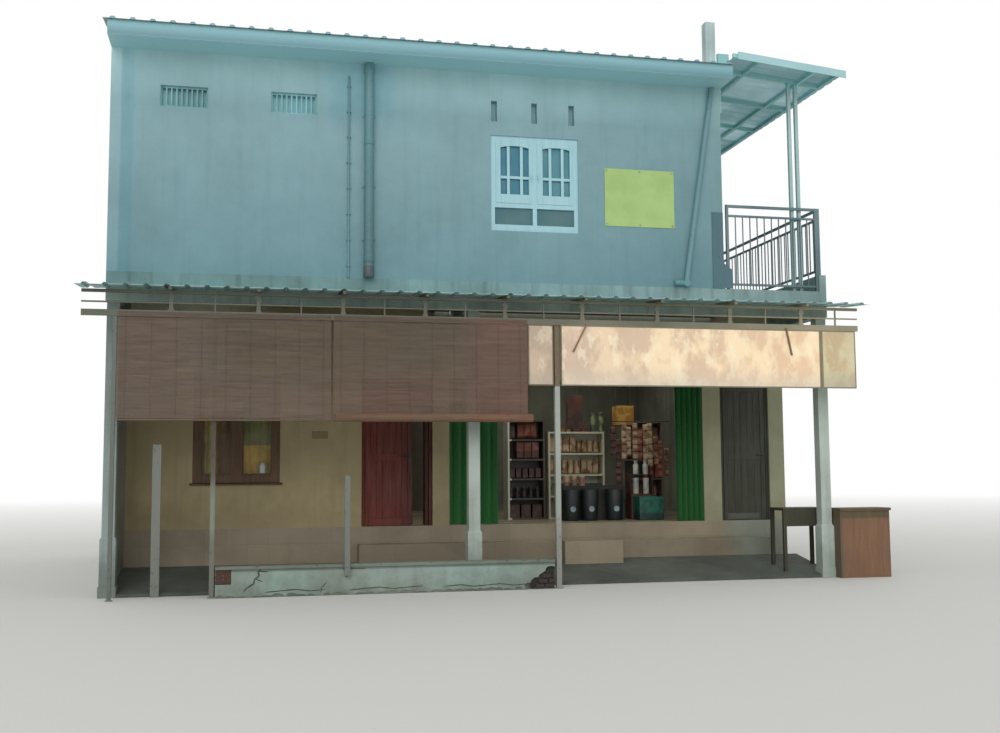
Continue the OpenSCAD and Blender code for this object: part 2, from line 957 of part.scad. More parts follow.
// White gate posts at the left, and the short pole behind the low wall
gate_post = 110;
gate_post_height = 1960;
pole_side = 40;
pole_width = 70;
pole_foot_z = 250;
pole_length = 1290;
module gate_posts() {
    gate_x = left_x + 640;
    pole_x = low_wall_left + 1630;
    pole_y = -truss_out - 30 - pole_side;
    color("#b7beb6") {
        block([gate_x, -70, 0], [gate_x + gate_post, 0, gate_post_height]);
        block([pole_x, pole_y, pole_foot_z],
              [pole_x + pole_width, pole_y + pole_side, pole_foot_z + pole_length]);
    }
}

// Open-fronted racks along the middle of the shop: each has its place, width, height and shelves
rack_y = front_y + 1500;
rack_depth = 350;
rack_board = 30;
module rack(x, width, height, shelves) {
    bay = (height - rack_board) / shelves;
    translate([x, rack_y, plinth_height])
        difference() {
            cube([width, rack_depth, height]);
            for (i = [0 : shelves - 1])
                translate([rack_board, -1, rack_board + i * bay])
                    cube([width - 2 * rack_board, rack_depth - rack_board + 1, bay - rack_board]);
        }
}

module shop_shelves() {
    color("#c9cdc6") {
        rack(shop_left_x + 1250, 640, 1660, 5);
        rack(shop_left_x + 1950, 980, 1460, 4);
        rack(shop_left_x + 3260, 720, 1640, 5);
    }
}

// The dark display counter in front of the racks
counter_y = front_y + 950;
display_width = 1050;
display_depth = 400;
display_height = 560;
module display_counter() {
    x = shop_left_x + 2040;
    color("#202a33")
        block([x, counter_y, plinth_height],
              [x + display_width, counter_y + display_depth, plinth_height + display_height]);
}

shop_floor();
shop_steps();
porch_floor();
ground_front_wall();
left_ground_wall();
right_ground_wall();
back_ground_wall();
porch_columns();
porch_beams();
upper_floor_slab();
terrace_kerb();
upper_front_wall();
upper_left_wall();
upper_right_wall();
upper_back_wall();
corner_stub();
vent_grilles();
upper_window_frames();
ground_window_frames();
window_glass();
terrace_door();
main_roof();
roof_purlins();
eave_box();
canopy_roof();
canopy_frame();
canopy_posts();
terrace_rail_front();
terrace_rail_side();
awning_roof();
awning_truss();
awning_bearers();
awning_posts();
low_wall();
counter_wall();
signboard();
sign_arms();
blinds();
door_frames();
red_door_wide_leaf();
red_door_narrow_leaf();
side_door_leaf();
folding_doors();
folding_door_track();
banner();
downpipes();
gate_posts();
shop_shelves();
display_counter();
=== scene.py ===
# %% [markdown]
# A corner shop house in Blender.
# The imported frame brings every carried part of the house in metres: X runs along the street,
# Y runs into the house and Z is up. Nothing here moves those parts. This lesson gives them their
# finish, and models what is too fine for the frame: ribbed sheets, slatted blinds, window bars,
# door mouldings, cracked plaster, and the goods on the shop's shelves.

# %% Load the frame
import json
import math
import random

import bpy
from mathutils import Matrix, Vector


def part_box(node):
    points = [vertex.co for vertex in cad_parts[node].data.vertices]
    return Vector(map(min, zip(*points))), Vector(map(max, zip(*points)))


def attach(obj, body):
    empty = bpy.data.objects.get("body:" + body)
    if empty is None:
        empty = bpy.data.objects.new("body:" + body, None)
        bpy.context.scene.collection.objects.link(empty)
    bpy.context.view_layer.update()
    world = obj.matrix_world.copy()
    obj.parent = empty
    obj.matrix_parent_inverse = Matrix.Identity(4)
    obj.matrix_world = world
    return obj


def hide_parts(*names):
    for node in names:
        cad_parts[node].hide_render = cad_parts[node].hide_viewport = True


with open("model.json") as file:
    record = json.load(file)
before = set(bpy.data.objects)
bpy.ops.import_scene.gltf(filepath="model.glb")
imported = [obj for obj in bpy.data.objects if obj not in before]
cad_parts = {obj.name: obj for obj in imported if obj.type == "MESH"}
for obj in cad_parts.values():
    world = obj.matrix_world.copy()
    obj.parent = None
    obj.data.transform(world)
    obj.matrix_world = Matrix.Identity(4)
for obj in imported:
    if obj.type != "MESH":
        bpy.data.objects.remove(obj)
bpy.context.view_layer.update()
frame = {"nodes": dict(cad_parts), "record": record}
nodes = frame["nodes"]

# %% [markdown]
# The camera stands across the street at eye height, and looks a little up and to the right.
# Its place and its three turns were worked out from the level and plumb edges of the house,
# so that an edge of the frame falls on the same edge in the picture.

# %% Camera
EYE = Vector((-3.32822, -15.62614, 1.57973))
TURN_RIGHT = math.radians(12.456)
LOOK_UP = math.radians(5.232)
TILT = math.radians(-0.399)
LENS_MM = 41.285
SENSOR_MM = 36.0


def clear_selection():
    """Leaves edit mode, and deselects everything."""
    if bpy.context.object and bpy.context.object.mode != "OBJECT":
        bpy.ops.object.mode_set(mode="OBJECT")
    bpy.ops.object.select_all(action="DESELECT")


def add_camera():
    """Sets the camera at the eye, turned right, tipped up and tilted a little."""
    clear_selection()
    bpy.ops.object.camera_add(location=EYE)
    camera = bpy.context.object
    camera.name = "street_camera"
    camera.data.sensor_fit = "HORIZONTAL"
    camera.data.sensor_width = SENSOR_MM
    camera.data.lens = LENS_MM
    level = Vector((math.cos(TURN_RIGHT), -math.sin(TURN_RIGHT), 0.0))
    ahead = Vector((math.sin(TURN_RIGHT), math.cos(TURN_RIGHT), 0.0)) * math.cos(LOOK_UP)
    ahead.z = math.sin(LOOK_UP)
    above = level.cross(ahead)
    right = level * math.cos(TILT) + above * math.sin(TILT)
    up = above * math.cos(TILT) - level * math.sin(TILT)
    turned = Matrix((right, up, -ahead)).transposed().to_4x4()
    camera.matrix_world = Matrix.Translation(EYE) @ turned
    bpy.context.scene.camera = camera
    print("camera looks along", [round(part, 3) for part in ahead])


add_camera()

# %% [markdown]
# A modeller works in small steps, so these helpers wrap the steps that come again and again.
# A piece starts as a primitive at its size and place, is shaped in edit mode, gets its edges
# softened by a Bevel modifier, and is then given a finish and a body to ride on.

# %% Modelling helpers
def take(piece):
    """Makes one piece the only selected and active one."""
    clear_selection()
    piece.select_set(True)
    bpy.context.view_layer.objects.active = piece


def bake_place():
    """Writes the active piece's place, turn and scale into its mesh."""
    bpy.ops.object.transform_apply(location=True, rotation=True, scale=True)


def start_block(name, low, high):
    """A cube primitive stretched between two corners, ready to be shaped."""
    clear_selection()
    middle = [(a + b) / 2 for a, b in zip(low, high)]
    bpy.ops.mesh.primitive_cube_add(size=1.0, location=middle)
    piece = bpy.context.object
    piece.name = name
    piece.scale = [b - a for a, b in zip(low, high)]
    bake_place()
    return piece


def start_grid(name, cuts, size, middle, upright=True):
    """A flat grid primitive round its middle, upright like a wall or level like a floor."""
    clear_selection()
    bpy.ops.mesh.primitive_grid_add(x_subdivisions=cuts[0], y_subdivisions=cuts[1], size=1.0)
    piece = bpy.context.object
    piece.name = name
    piece.scale = (size[0], size[1], 1.0)
    if upright:
        piece.rotation_euler = (math.radians(90), 0.0, 0.0)
    piece.location = middle
    bake_place()
    return piece


def start_rod(name, radius, low, high, sides):
    """A cylinder primitive from one point to another, ready to be shaped."""
    clear_selection()
    low = Vector(low)
    high = Vector(high)
    run = high - low
    bpy.ops.mesh.primitive_cylinder_add(vertices=sides, radius=radius, depth=run.length)
    piece = bpy.context.object
    piece.name = name
    piece.rotation_euler = run.to_track_quat("Z", "Y").to_euler()
    piece.location = (low + high) / 2
    bake_place()
    return piece


def pick(piece, kind, test):
    """Enters edit mode with the vertices or faces selected whose place passes the test."""
    take(piece)
    bpy.ops.object.mode_set(mode="EDIT")
    bpy.ops.mesh.select_mode(type=kind)
    bpy.ops.mesh.select_all(action="DESELECT")
    bpy.ops.object.mode_set(mode="OBJECT")
    found = 0
    if kind == "VERT":
        for vertex in piece.data.vertices:
            vertex.select = bool(test(vertex.co))
            found += vertex.select
    else:
        for face in piece.data.polygons:
            face.select = bool(test(face.center, face.normal))
            found += face.select
    bpy.ops.object.mode_set(mode="EDIT")
    return found


def done_editing():
    """Goes back to object mode."""
    bpy.ops.object.mode_set(mode="OBJECT")


def pick_top(piece):
    """Enters edit mode with the faces selected that look up."""
    pick(piece, "FACE", lambda middle, normal: normal.z > 0.9)


def pull(height):
    """Extrudes the selected faces upwards, or downwards by a negative height."""
    bpy.ops.mesh.extrude_region_move(TRANSFORM_OT_translate={"value": (0.0, 0.0, height)})


def move_points(piece, test, step):
    """Moves the vertices whose place passes the test."""
    pick(piece, "VERT", test)
    bpy.ops.transform.translate(value=step)
    done_editing()


def scale_points(piece, test, factors, centre):
    """Scales the vertices whose place passes the test, towards a centre or away from it."""
    pick(piece, "VERT", test)
    bpy.ops.transform.resize(value=factors, center_override=centre)
    done_editing()


def apply_modifier(piece, kind, **settings):
    """Adds a modifier, sets it, and applies it at once."""
    take(piece)
    modifier = piece.modifiers.new(kind.lower(), kind)
    for name, value in settings.items():
        setattr(modifier, name, value)
    bpy.ops.object.modifier_apply(modifier=modifier.name)
    return piece


def soften(piece, width, segments=2):
    """Rounds the piece's edges, as paint, use and tools leave them."""
    return apply_modifier(piece, "BEVEL", width=width, segments=segments, limit_method="ANGLE")


def repeat(piece, count, step, merge=False):
    """Copies the piece in a row, as one mesh."""
    return apply_modifier(
        piece, "ARRAY", count=count, use_relative_offset=False, use_constant_offset=True,
        constant_offset_displace=step, use_merge_vertices=merge, merge_threshold=0.0005)


def thicken(piece, gauge):
    """Gives a flat mesh its gauge, half of it on each side."""
    return apply_modifier(piece, "SOLIDIFY", thickness=gauge, offset=0.0)


def cut_with(piece, cutter, **settings):
    """Takes the cutter's form out of the piece, and removes the cutter."""
    apply_modifier(piece, "BOOLEAN", operation="DIFFERENCE", object=cutter, **settings)
    take(cutter)
    bpy.ops.object.delete()


def join(name, pieces):
    """Joins pieces into the first one, and names the result."""
    clear_selection()
    for piece in pieces:
        piece.select_set(True)
    bpy.context.view_layer.objects.active = pieces[0]
    if len(pieces) > 1:
        bpy.ops.object.join()
    joined = bpy.context.object
    joined.name = name
    return joined


def copy_piece(name, piece):
    """One more copy, with its own mesh and name."""
    take(piece)
    bpy.ops.object.duplicate()
    twin = bpy.context.object
    twin.name = name
    return twin


def smooth(piece, angle=35):
    """Shades the piece round wherever its faces meet at less than the angle, in degrees."""
    take(piece)
    bpy.ops.object.shade_smooth_by_angle(angle=math.radians(angle))
    return piece


def settle(piece, material, body="house"):
    """Gives a finished piece its finish and the body that it rides on."""
    piece.data.materials.clear()
    piece.data.materials.append(material)
    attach(piece, body)
    return piece


def assemble(name, parts, rounding, material, body="house"):
    """Joins parts into one piece, rounds its edges and settles it."""
    return settle(soften(join(name, parts), rounding), material, body)


# %% [markdown]
# Every finish here is procedural. A few shader node groups hold what several finishes share:
# blotches and rain streaks for plaster, rust for steel, and grain for wood. Each group has named
# inputs, and a material feeds its own values in. The Principled shader stays in the material.

# %% Colour helper
def srgb(red, green, blue):
    """Turns a colour as it is seen on a screen, 0 to 255, into the linear values Blender uses."""
    linear = []
    for level in (red, green, blue):
        level = level / 255
        linear.append(level / 12.92 if level <= 0.04045 else ((level + 0.055) / 1.055) ** 2.4)
    return (*linear, 1.0)


# %% Node helpers
def new_group(name, inputs, outputs):
    """Starts a shader node group with named colour and number sockets."""
    group = bpy.data.node_groups.new(name, "ShaderNodeTree")
    for label, kind, value in inputs:
        socket = group.interface.new_socket(name=label, in_out="INPUT", socket_type=kind)
        socket.default_value = value
    for label, kind in outputs:
        group.interface.new_socket(name=label, in_out="OUTPUT", socket_type=kind)
    entry = group.nodes.new("NodeGroupInput")
    leave = group.nodes.new("NodeGroupOutput")
    return group, entry, leave


def place_noise(tree, vector, scale, detail, rough=0.55, stretch=(1.0, 1.0, 1.0)):
    """A noise pattern on the object's own metres, stretched along any axis."""
    mapping = tree.nodes.new("ShaderNodeMapping")
    mapping.inputs["Scale"].default_value = stretch
    tree.links.new(vector, mapping.inputs["Vector"])
    noise = tree.nodes.new("ShaderNodeTexNoise")
    noise.inputs["Scale"].default_value = scale
    noise.inputs["Detail"].default_value = detail
    noise.inputs["Roughness"].default_value = rough
    tree.links.new(mapping.outputs["Vector"], noise.inputs["Vector"])
    return noise.outputs["Fac"]


def place_range(tree, value, low, high, out_low=0.0, out_high=1.0):
    """Keeps only the part of a pattern between two levels, and spreads it to a new range."""
    remap = tree.nodes.new("ShaderNodeMapRange")
    remap.inputs["From Min"].default_value = low
    remap.inputs["From Max"].default_value = high
    remap.inputs["To Min"].default_value = out_low
    remap.inputs["To Max"].default_value = out_high
    tree.links.new(value, remap.inputs["Value"])
    return remap.outputs["Result"]


def place_math(tree, operation, first, second):
    """One sum or product of two values, each a socket or a plain number."""
    node = tree.nodes.new("ShaderNodeMath")
    node.operation = operation
    for slot, value in enumerate((first, second)):
        if isinstance(value, (int, float)):
            node.inputs[slot].default_value = value
        else:
            tree.links.new(value, node.inputs[slot])
    return node.outputs["Value"]


def place_mix(tree, factor, first, second, blend="MIX"):
    """Mixes two colours, each a socket or a plain colour."""
    node = tree.nodes.new("ShaderNodeMix")
    node.data_type = "RGBA"
    node.blend_type = blend
    for slot, value in ((0, factor), (6, first), (7, second)):
        if isinstance(value, (int, float, tuple)):
            node.inputs[slot].default_value = value
        else:
            tree.links.new(value, node.inputs[slot])
    return node.outputs[2]


def own_place(tree):
    """The place on the object itself, in metres."""
    return tree.nodes.new("ShaderNodeTexCoord").outputs["Object"]


def split_axes(tree, place):
    """The X, Y and Z of a place, as sockets."""
    axes = tree.nodes.new("ShaderNodeSeparateXYZ")
    tree.links.new(place, axes.inputs["Vector"])
    return axes.outputs


def start_material(name, **plain):
    """A new material, its node tree and its shader; plain numbers go on the shader itself."""
    material = bpy.data.materials.new(name)
    material.use_nodes = True
    tree = material.node_tree
    shader = tree.nodes["Principled BSDF"]
    for label, value in plain.items():
        shader.inputs[label.replace("_", " ")].default_value = value
    return material, tree, shader


def add_relief(tree, height, strength, distance, sunken=False):
    """Feeds a height into the shader's normal, as fine relief that no mesh shows."""
    relief = tree.nodes.new("ShaderNodeBump")
    relief.inputs["Strength"].default_value = strength
    relief.inputs["Distance"].default_value = distance
    relief.invert = sunken
    tree.links.new(height, relief.inputs["Height"])
    tree.links.new(relief.outputs["Normal"], tree.nodes["Principled BSDF"].inputs["Normal"])


# %% [markdown]
# Old painted plaster is never one tone. The paint fades in soft blotches, rain draws upright
# streaks below every edge, and dirt splashes up from the ground. The group mixes those three
# over the paint colour, and puts out a fine roller texture as height for the bump.

# %% Plaster group
SURFACE = [("Color", "NodeSocketColor"), ("Roughness", "NodeSocketFloat"), ("Height", "NodeSocketFloat")]


def build_plaster_group():
    """Blotches, rain streaks and splashed dirt over a paint."""
    group, entry, leave = new_group(
        "worn_plaster",
        [("Paint", "NodeSocketColor", (0.5, 0.5, 0.5, 1.0)),
         ("Stain", "NodeSocketColor", (0.2, 0.2, 0.2, 1.0)),
         ("Blotch", "NodeSocketFloat", 0.3), ("Streak", "NodeSocketFloat", 0.3),
         ("Splash height", "NodeSocketFloat", 0.0), ("Splash", "NodeSocketFloat", 0.0)], SURFACE)
    place = own_place(group)
    blotch = place_range(group, place_noise(group, place, 0.9, 5.0), 0.38, 0.66)
    mottle = place_range(group, place_noise(group, place, 5.5, 4.0), 0.35, 0.7)
    streak = place_noise(group, place, 3.2, 5.0, 0.6, (2.2, 2.2, 0.16))
    streak = place_range(group, streak, 0.5, 0.74)
    grain = place_noise(group, place, 210.0, 2.0)
    lump = place_noise(group, place, 26.0, 3.0)
    ragged = place_math(group, "MULTIPLY", mottle, -0.22)
    edge = place_math(group, "ADD", split_axes(group, place)["Z"], ragged)
    depth = place_math(group, "SUBTRACT", entry.outputs["Splash height"], edge)
    splash = place_range(group, depth, -0.08, 0.3)
    soft = place_math(group, "MULTIPLY", blotch, entry.outputs["Blotch"])
    soft = place_math(group, "ADD", soft, place_math(group, "MULTIPLY", mottle, 0.07))
    lines = place_math(group, "MULTIPLY", streak, entry.outputs["Streak"])
    color = place_mix(group, soft, entry.outputs["Paint"], entry.outputs["Stain"])
    color = place_mix(group, lines, color, entry.outputs["Stain"])
    mud = place_math(group, "MULTIPLY", splash, entry.outputs["Splash"])
    color = place_mix(group, mud, color, entry.outputs["Stain"])
    group.links.new(color, leave.inputs["Color"])
    group.links.new(place_range(group, mottle, 0.0, 1.0, 0.82, 0.96), leave.inputs["Roughness"])
    relief = place_math(group, "ADD", place_math(group, "MULTIPLY", grain, 0.35), lump)
    group.links.new(relief, leave.inputs["Height"])
    return group


PLASTER = build_plaster_group()


# %% [markdown]
# Painted steel outdoors keeps its colour on the flats and rusts in freckles, more where the
# paint was thin. The group mixes rust over the paint and drops the metal's shine there.

# %% Steel group
def build_steel_group():
    """Faded patches and freckles of rust over a paint."""
    group, entry, leave = new_group(
        "weathered_steel",
        [("Paint", "NodeSocketColor", (0.3, 0.3, 0.3, 1.0)),
         ("Rust", "NodeSocketColor", (0.1, 0.04, 0.02, 1.0)),
         ("Rust amount", "NodeSocketFloat", 0.4), ("Fade", "NodeSocketFloat", 0.3)], SURFACE)
    place = own_place(group)
    freckle = place_range(group, place_noise(group, place, 22.0, 6.0, 0.7), 0.56, 0.68)
    patch = place_range(group, place_noise(group, place, 2.1, 4.0), 0.42, 0.62)
    fade = place_range(group, place_noise(group, place, 1.3, 3.0, 0.5, (1.0, 1.0, 0.4)), 0.35, 0.7)
    rust = place_math(group, "MULTIPLY", freckle, patch)
    rust = place_math(group, "MULTIPLY", rust, entry.outputs["Rust amount"])
    pale = place_mix(group, 0.55, entry.outputs["Paint"], (0.62, 0.68, 0.68, 1.0))
    faded = place_math(group, "MULTIPLY", fade, entry.outputs["Fade"])
    color = place_mix(group, faded, entry.outputs["Paint"], pale)
    color = place_mix(group, rust, color, entry.outputs["Rust"])
    group.links.new(color, leave.inputs["Color"])
    group.links.new(place_range(group, rust, 0.0, 0.6, 0.5, 0.9), leave.inputs["Roughness"])
    blister = place_math(group, "MULTIPLY", fade, 0.2)
    group.links.new(place_math(group, "ADD", rust, blister), leave.inputs["Height"])
    return group


STEEL = build_steel_group()


# %% [markdown]
# Wood and bamboo show long fibres. Noise that is stretched hard along one axis gives them,
# and the material says which axis by its own stretch, so one group serves upright door boards
# and level blind slats alike.

# %% Wood group
def build_wood_group(name, stretch, scale):
    """Fibres and broader boards between a light and a dark tone, with dirt."""
    group, entry, leave = new_group(
        name,
        [("Light", "NodeSocketColor", (0.4, 0.25, 0.15, 1.0)),
         ("Dark", "NodeSocketColor", (0.1, 0.05, 0.03, 1.0)),
         ("Grain", "NodeSocketFloat", 0.6), ("Dirt", "NodeSocketFloat", 0.2)], SURFACE)
    place = own_place(group)
    fibre = place_noise(group, place, scale, 6.0, 0.65, stretch)
    fibre = place_range(group, fibre, 0.34, 0.68)
    board = place_range(group, place_noise(group, place, scale * 0.16, 2.0, 0.5, stretch), 0.35, 0.65)
    dirt = place_range(group, place_noise(group, place, 1.7, 5.0), 0.45, 0.72)
    mix = place_math(group, "MULTIPLY", fibre, entry.outputs["Grain"])
    color = place_mix(group, mix, entry.outputs["Light"], entry.outputs["Dark"])
    color = place_mix(group, place_math(group, "MULTIPLY", board, 0.3), color, entry.outputs["Dark"])
    soil = place_math(group, "MULTIPLY", dirt, entry.outputs["Dirt"])
    color = place_mix(group, soil, color, (0.09, 0.085, 0.075, 1.0))
    group.links.new(color, leave.inputs["Color"])
    group.links.new(place_range(group, fibre, 0.0, 1.0, 0.5, 0.75), leave.inputs["Roughness"])
    group.links.new(fibre, leave.inputs["Height"])
    return group


UPRIGHT_WOOD = build_wood_group("upright_grain", (1.0, 1.0, 0.06), 38.0)
LEVEL_WOOD = build_wood_group("level_grain", (0.05, 1.0, 1.0), 46.0)


# %% Material from a group
def finish(name, group, values, bump, distance=0.004, **plain):
    """A material whose shader is fed by one group; plain numbers go on the shader itself."""
    material, tree, shader = start_material(name, **plain)
    node = tree.nodes.new("ShaderNodeGroup")
    node.node_tree = group
    node.name = "pattern"
    for label, value in values.items():
        node.inputs[label].default_value = value
    tree.links.new(node.outputs["Color"], shader.inputs["Base Color"])
    tree.links.new(node.outputs["Roughness"], shader.inputs["Roughness"])
    add_relief(tree, node.outputs["Height"], bump, distance)
    return material


# %% [markdown]
# Dust, damp and sun change a surface from place to place. This helper works on any finish: it
# multiplies the colour by a tint within a range of each named axis, and each range has its own
# soft edge. A wide soft edge makes a slow change of tone, and a narrow one a painted line.

# %% Tint by place
def tint_patch(material, tint, wobble=0.0, **ranges):
    """Tints a finish in a box of places; a wobble, in metres, makes the box's edges uneven."""
    tree = material.node_tree
    shader = tree.nodes["Principled BSDF"]
    source = shader.inputs["Base Color"].links[0].from_socket
    place = own_place(tree)
    axes = split_axes(tree, place)
    inside = 1.0
    for axis, (low, high, soft) in ranges.items():
        along = axes[axis]
        if wobble:
            ripple = place_math(tree, "SUBTRACT", place_noise(tree, place, 3.5, 4.0), 0.5)
            along = place_math(tree, "ADD", along, place_math(tree, "MULTIPLY", ripple, wobble))
        enter = place_range(tree, along, low - soft, low + soft)
        leave = place_range(tree, along, high + soft, high - soft)
        inside = place_math(tree, "MULTIPLY", inside, place_math(tree, "MINIMUM", enter, leave))
    tinted = place_mix(tree, 1.0, source, (*tint, 1.0), "MULTIPLY")
    tree.links.new(place_mix(tree, inside, source, tinted), shader.inputs["Base Color"])
    return material


# %% [markdown]
# The plastered and concrete parts come first. The upper wall is a grey-green that has gone
# chalky, the ground floor a warm cream, and the unpainted side and back walls bare render.
# Ground-floor walls take a band of splashed dirt, whose height each material gives in metres.

# %% Plaster and concrete finishes
STAIN = srgb(70, 78, 72)
UPPER_PLASTER = finish("upper_plaster", PLASTER, {
    "Paint": srgb(137, 172, 179), "Stain": srgb(104, 133, 139), "Blotch": 0.3, "Streak": 0.2}, 0.22)
CREAM_PLASTER = finish("cream_plaster", PLASTER, {
    "Paint": srgb(176, 161, 124), "Stain": srgb(118, 104, 80), "Blotch": 0.3, "Streak": 0.22,
    "Splash height": 1.1, "Splash": 0.25}, 0.18)
GREY_PLASTER = finish("grey_plaster", PLASTER, {
    "Paint": srgb(146, 148, 138), "Stain": srgb(86, 88, 80), "Blotch": 0.6, "Streak": 0.5,
    "Splash height": 0.55, "Splash": 0.6}, 0.4, 0.008)
CONCRETE = finish("painted_concrete", PLASTER, {
    "Paint": srgb(132, 150, 146), "Stain": STAIN, "Blotch": 0.5, "Streak": 0.55}, 0.3, 0.006)
PORCH_CONCRETE = finish("porch_concrete", PLASTER, {
    "Paint": srgb(87, 94, 85), "Stain": srgb(56, 58, 53), "Blotch": 0.75, "Streak": 0.0}, 0.45, 0.008)
COLUMN_PAINT = finish("column_paint", PLASTER, {
    "Paint": srgb(176, 188, 180), "Stain": srgb(98, 100, 88), "Blotch": 0.32, "Streak": 0.35,
    "Splash height": 0.5, "Splash": 0.4}, 0.22)
LOW_WALL_PAINT = finish("low_wall_paint", PLASTER, {
    "Paint": srgb(146, 161, 152), "Stain": srgb(100, 104, 92), "Blotch": 0.35, "Streak": 0.25,
    "Splash height": 0.12, "Splash": 0.7}, 0.5, 0.01)

# %% [markdown]
# The upper wall is darker towards its foot, and painted lighter near the eave: painted light
# that fills the shade under the eave. Damp shows round the top of the wide rain pipe, and the two
# corners differ a little.
# Below, the cream wall is greyer towards the right, and the slab's edge is darkest at the left.
# The rooms behind are dim, so their plaster is darker than outside, and the left column stands
# in shade. Where the cream wall shows between the truss's bars, it is painted grey with the
# porch's deep shade, and painted lighter at its far left with light that comes through the
# blinds. The low wall has a grey cap, a painted shadow line under it and two patches of newer
# paint.

# %% Tints of plaster and concrete
STREET_FACE = (-0.3, 0.3, 0.05)
CEILING_EDGE = (3.9, 4.5, 0.03)
SLAB_EDGE = (4.07, 5.0, 0.01)
NEW_PAINT = (0.0, 0.33, 0.01)
tint_patch(UPPER_PLASTER, (0.69, 0.76, 0.77), Z=(3.0, 5.2, 1.0))
# Painted light: the wall's top is lightened against the shade of the eave above it.
tint_patch(UPPER_PLASTER, (1.85, 1.72, 1.64), Y=STREET_FACE, Z=(6.95, 9.0, 0.35))
tint_patch(
    UPPER_PLASTER, (0.80, 0.93, 0.97), 0.5, X=(-2.3, -1.35, 0.15), Y=STREET_FACE, Z=(6.5, 7.8, 0.25))
tint_patch(UPPER_PLASTER, (1.18, 1.12, 1.12), X=(-5.3, -5.02, 0.01), Y=STREET_FACE)
tint_patch(UPPER_PLASTER, (0.84, 0.94, 0.97), 0.1, X=(-5.02, -4.86, 0.02), Y=STREET_FACE)
tint_patch(UPPER_PLASTER, (0.87, 0.90, 0.90), X=(2.0, 9.0, 0.6), Y=STREET_FACE)
tint_patch(UPPER_PLASTER, (1.02, 1.00, 0.97), X=(3.33, 3.6, 0.01), Y=STREET_FACE)
tint_patch(CREAM_PLASTER, (0.78, 0.96, 1.12), X=(1.5, 9.0, 3.0))
# Painted shade: the cream wall's top, seen between the truss's bars, is darkened to grey.
tint_patch(CREAM_PLASTER, (0.20, 0.24, 0.32), X=(-0.65, 4.02, 0.06), Z=CEILING_EDGE)
# Painted light: at the far left that strip is lightened by light through the blinds.
tint_patch(CREAM_PLASTER, (2.0, 2.4, 3.2), X=(-9.0, -3.4, 0.6), Z=CEILING_EDGE)
tint_patch(GREY_PLASTER, (0.50, 0.45, 0.42), X=(-4.9, 0.6, 0.3), Y=(2.0, 8.42, 0.005))
tint_patch(CONCRETE, (1.15, 1.38, 1.50), Z=SLAB_EDGE)
tint_patch(CONCRETE, (0.73, 0.78, 0.77), X=(-9.0, -1.0, 2.5), Z=SLAB_EDGE)
tint_patch(CONCRETE, (1.10, 0.99, 0.94), X=(2.5, 9.0, 1.5), Z=SLAB_EDGE)
# Painted light: the beams' street faces behind the truss are lightened out of their shade.
tint_patch(CONCRETE, (2.1, 2.0, 1.95), Y=(-0.5, 0.5, 0.01), Z=(3.0, 4.07, 0.01))
# Painted light: the bars of the air grilles are lightened where they stand in shade.
tint_patch(CONCRETE, (1.3, 2.0, 2.25), Z=(6.4, 6.9, 0.01))
tint_patch(CONCRETE, (2.5, 2.4, 2.6), Z=(7.5, 9.0, 0.2))
tint_patch(COLUMN_PAINT, (1.18, 1.20, 1.20), X=(4.5, 6.0, 0.1))
tint_patch(COLUMN_PAINT, (0.64, 0.67, 0.70), X=(-6.0, -4.5, 0.1))
tint_patch(LOW_WALL_PAINT, (0.66, 0.65, 0.60), Z=(0.359, 0.5, 0.002))
# Painted shadow: a dark line just under the cap's overhang.
tint_patch(LOW_WALL_PAINT, (0.64, 0.64, 0.62), Z=(0.325, 0.36, 0.008))
tint_patch(LOW_WALL_PAINT, (1.10, 1.22, 1.24), X=(-3.15, -2.45, 0.15), Z=NEW_PAINT)
tint_patch(LOW_WALL_PAINT, (1.05, 1.14, 1.17), X=(-0.85, 0.30, 0.15), Z=NEW_PAINT)

# %% [markdown]
# Steel work outdoors shares one group. The gutter edge and truss keep most of their paint, the
# zinc sheets are pale and streaked, and the rails are nearly bare.

# %% Steel finishes
RUST = srgb(104, 66, 44)
ROOF_SHEET = finish("roof_sheet", STEEL, {
    "Paint": srgb(150, 165, 162), "Rust": RUST, "Rust amount": 0.55, "Fade": 0.45}, 0.1, Metallic=0.35)
STEEL_PAINT = finish("steel_paint", STEEL, {
    "Paint": srgb(124, 136, 126), "Rust": RUST, "Rust amount": 0.55, "Fade": 0.35}, 0.15, Metallic=0.1)
EAVE_PAINT = finish("eave_paint", STEEL, {
    "Paint": srgb(134, 184, 193), "Rust": RUST, "Rust amount": 0.15, "Fade": 0.05}, 0.1)
DARK_STEEL = finish("dark_steel", STEEL, {
    "Paint": srgb(54, 64, 66), "Rust": RUST, "Rust amount": 0.7, "Fade": 0.12}, 0.15, Metallic=0.3)
POST_PAINT = finish("post_paint", STEEL, {
    "Paint": srgb(160, 168, 160), "Rust": RUST, "Rust amount": 0.75, "Fade": 0.3}, 0.15)
GREEN_STEEL = finish("green_steel", STEEL, {
    "Paint": srgb(56, 116, 64), "Rust": srgb(70, 60, 44), "Rust amount": 0.25, "Fade": 0.05}, 0.1)
SHELF_PAINT = finish("shelf_paint", STEEL, {
    "Paint": srgb(204, 206, 196), "Rust": RUST, "Rust amount": 0.2, "Fade": 0.2}, 0.08)
PIPE_PLASTIC = finish("pipe_plastic", STEEL, {
    "Paint": srgb(92, 138, 145), "Rust": srgb(62, 84, 88), "Rust amount": 0.45, "Fade": 0.15}, 0.06)
DARK_PIPE = finish("dark_pipe", STEEL, {
    "Paint": srgb(58, 70, 74), "Rust": srgb(40, 46, 46), "Rust amount": 0.6, "Fade": 0.15}, 0.06)
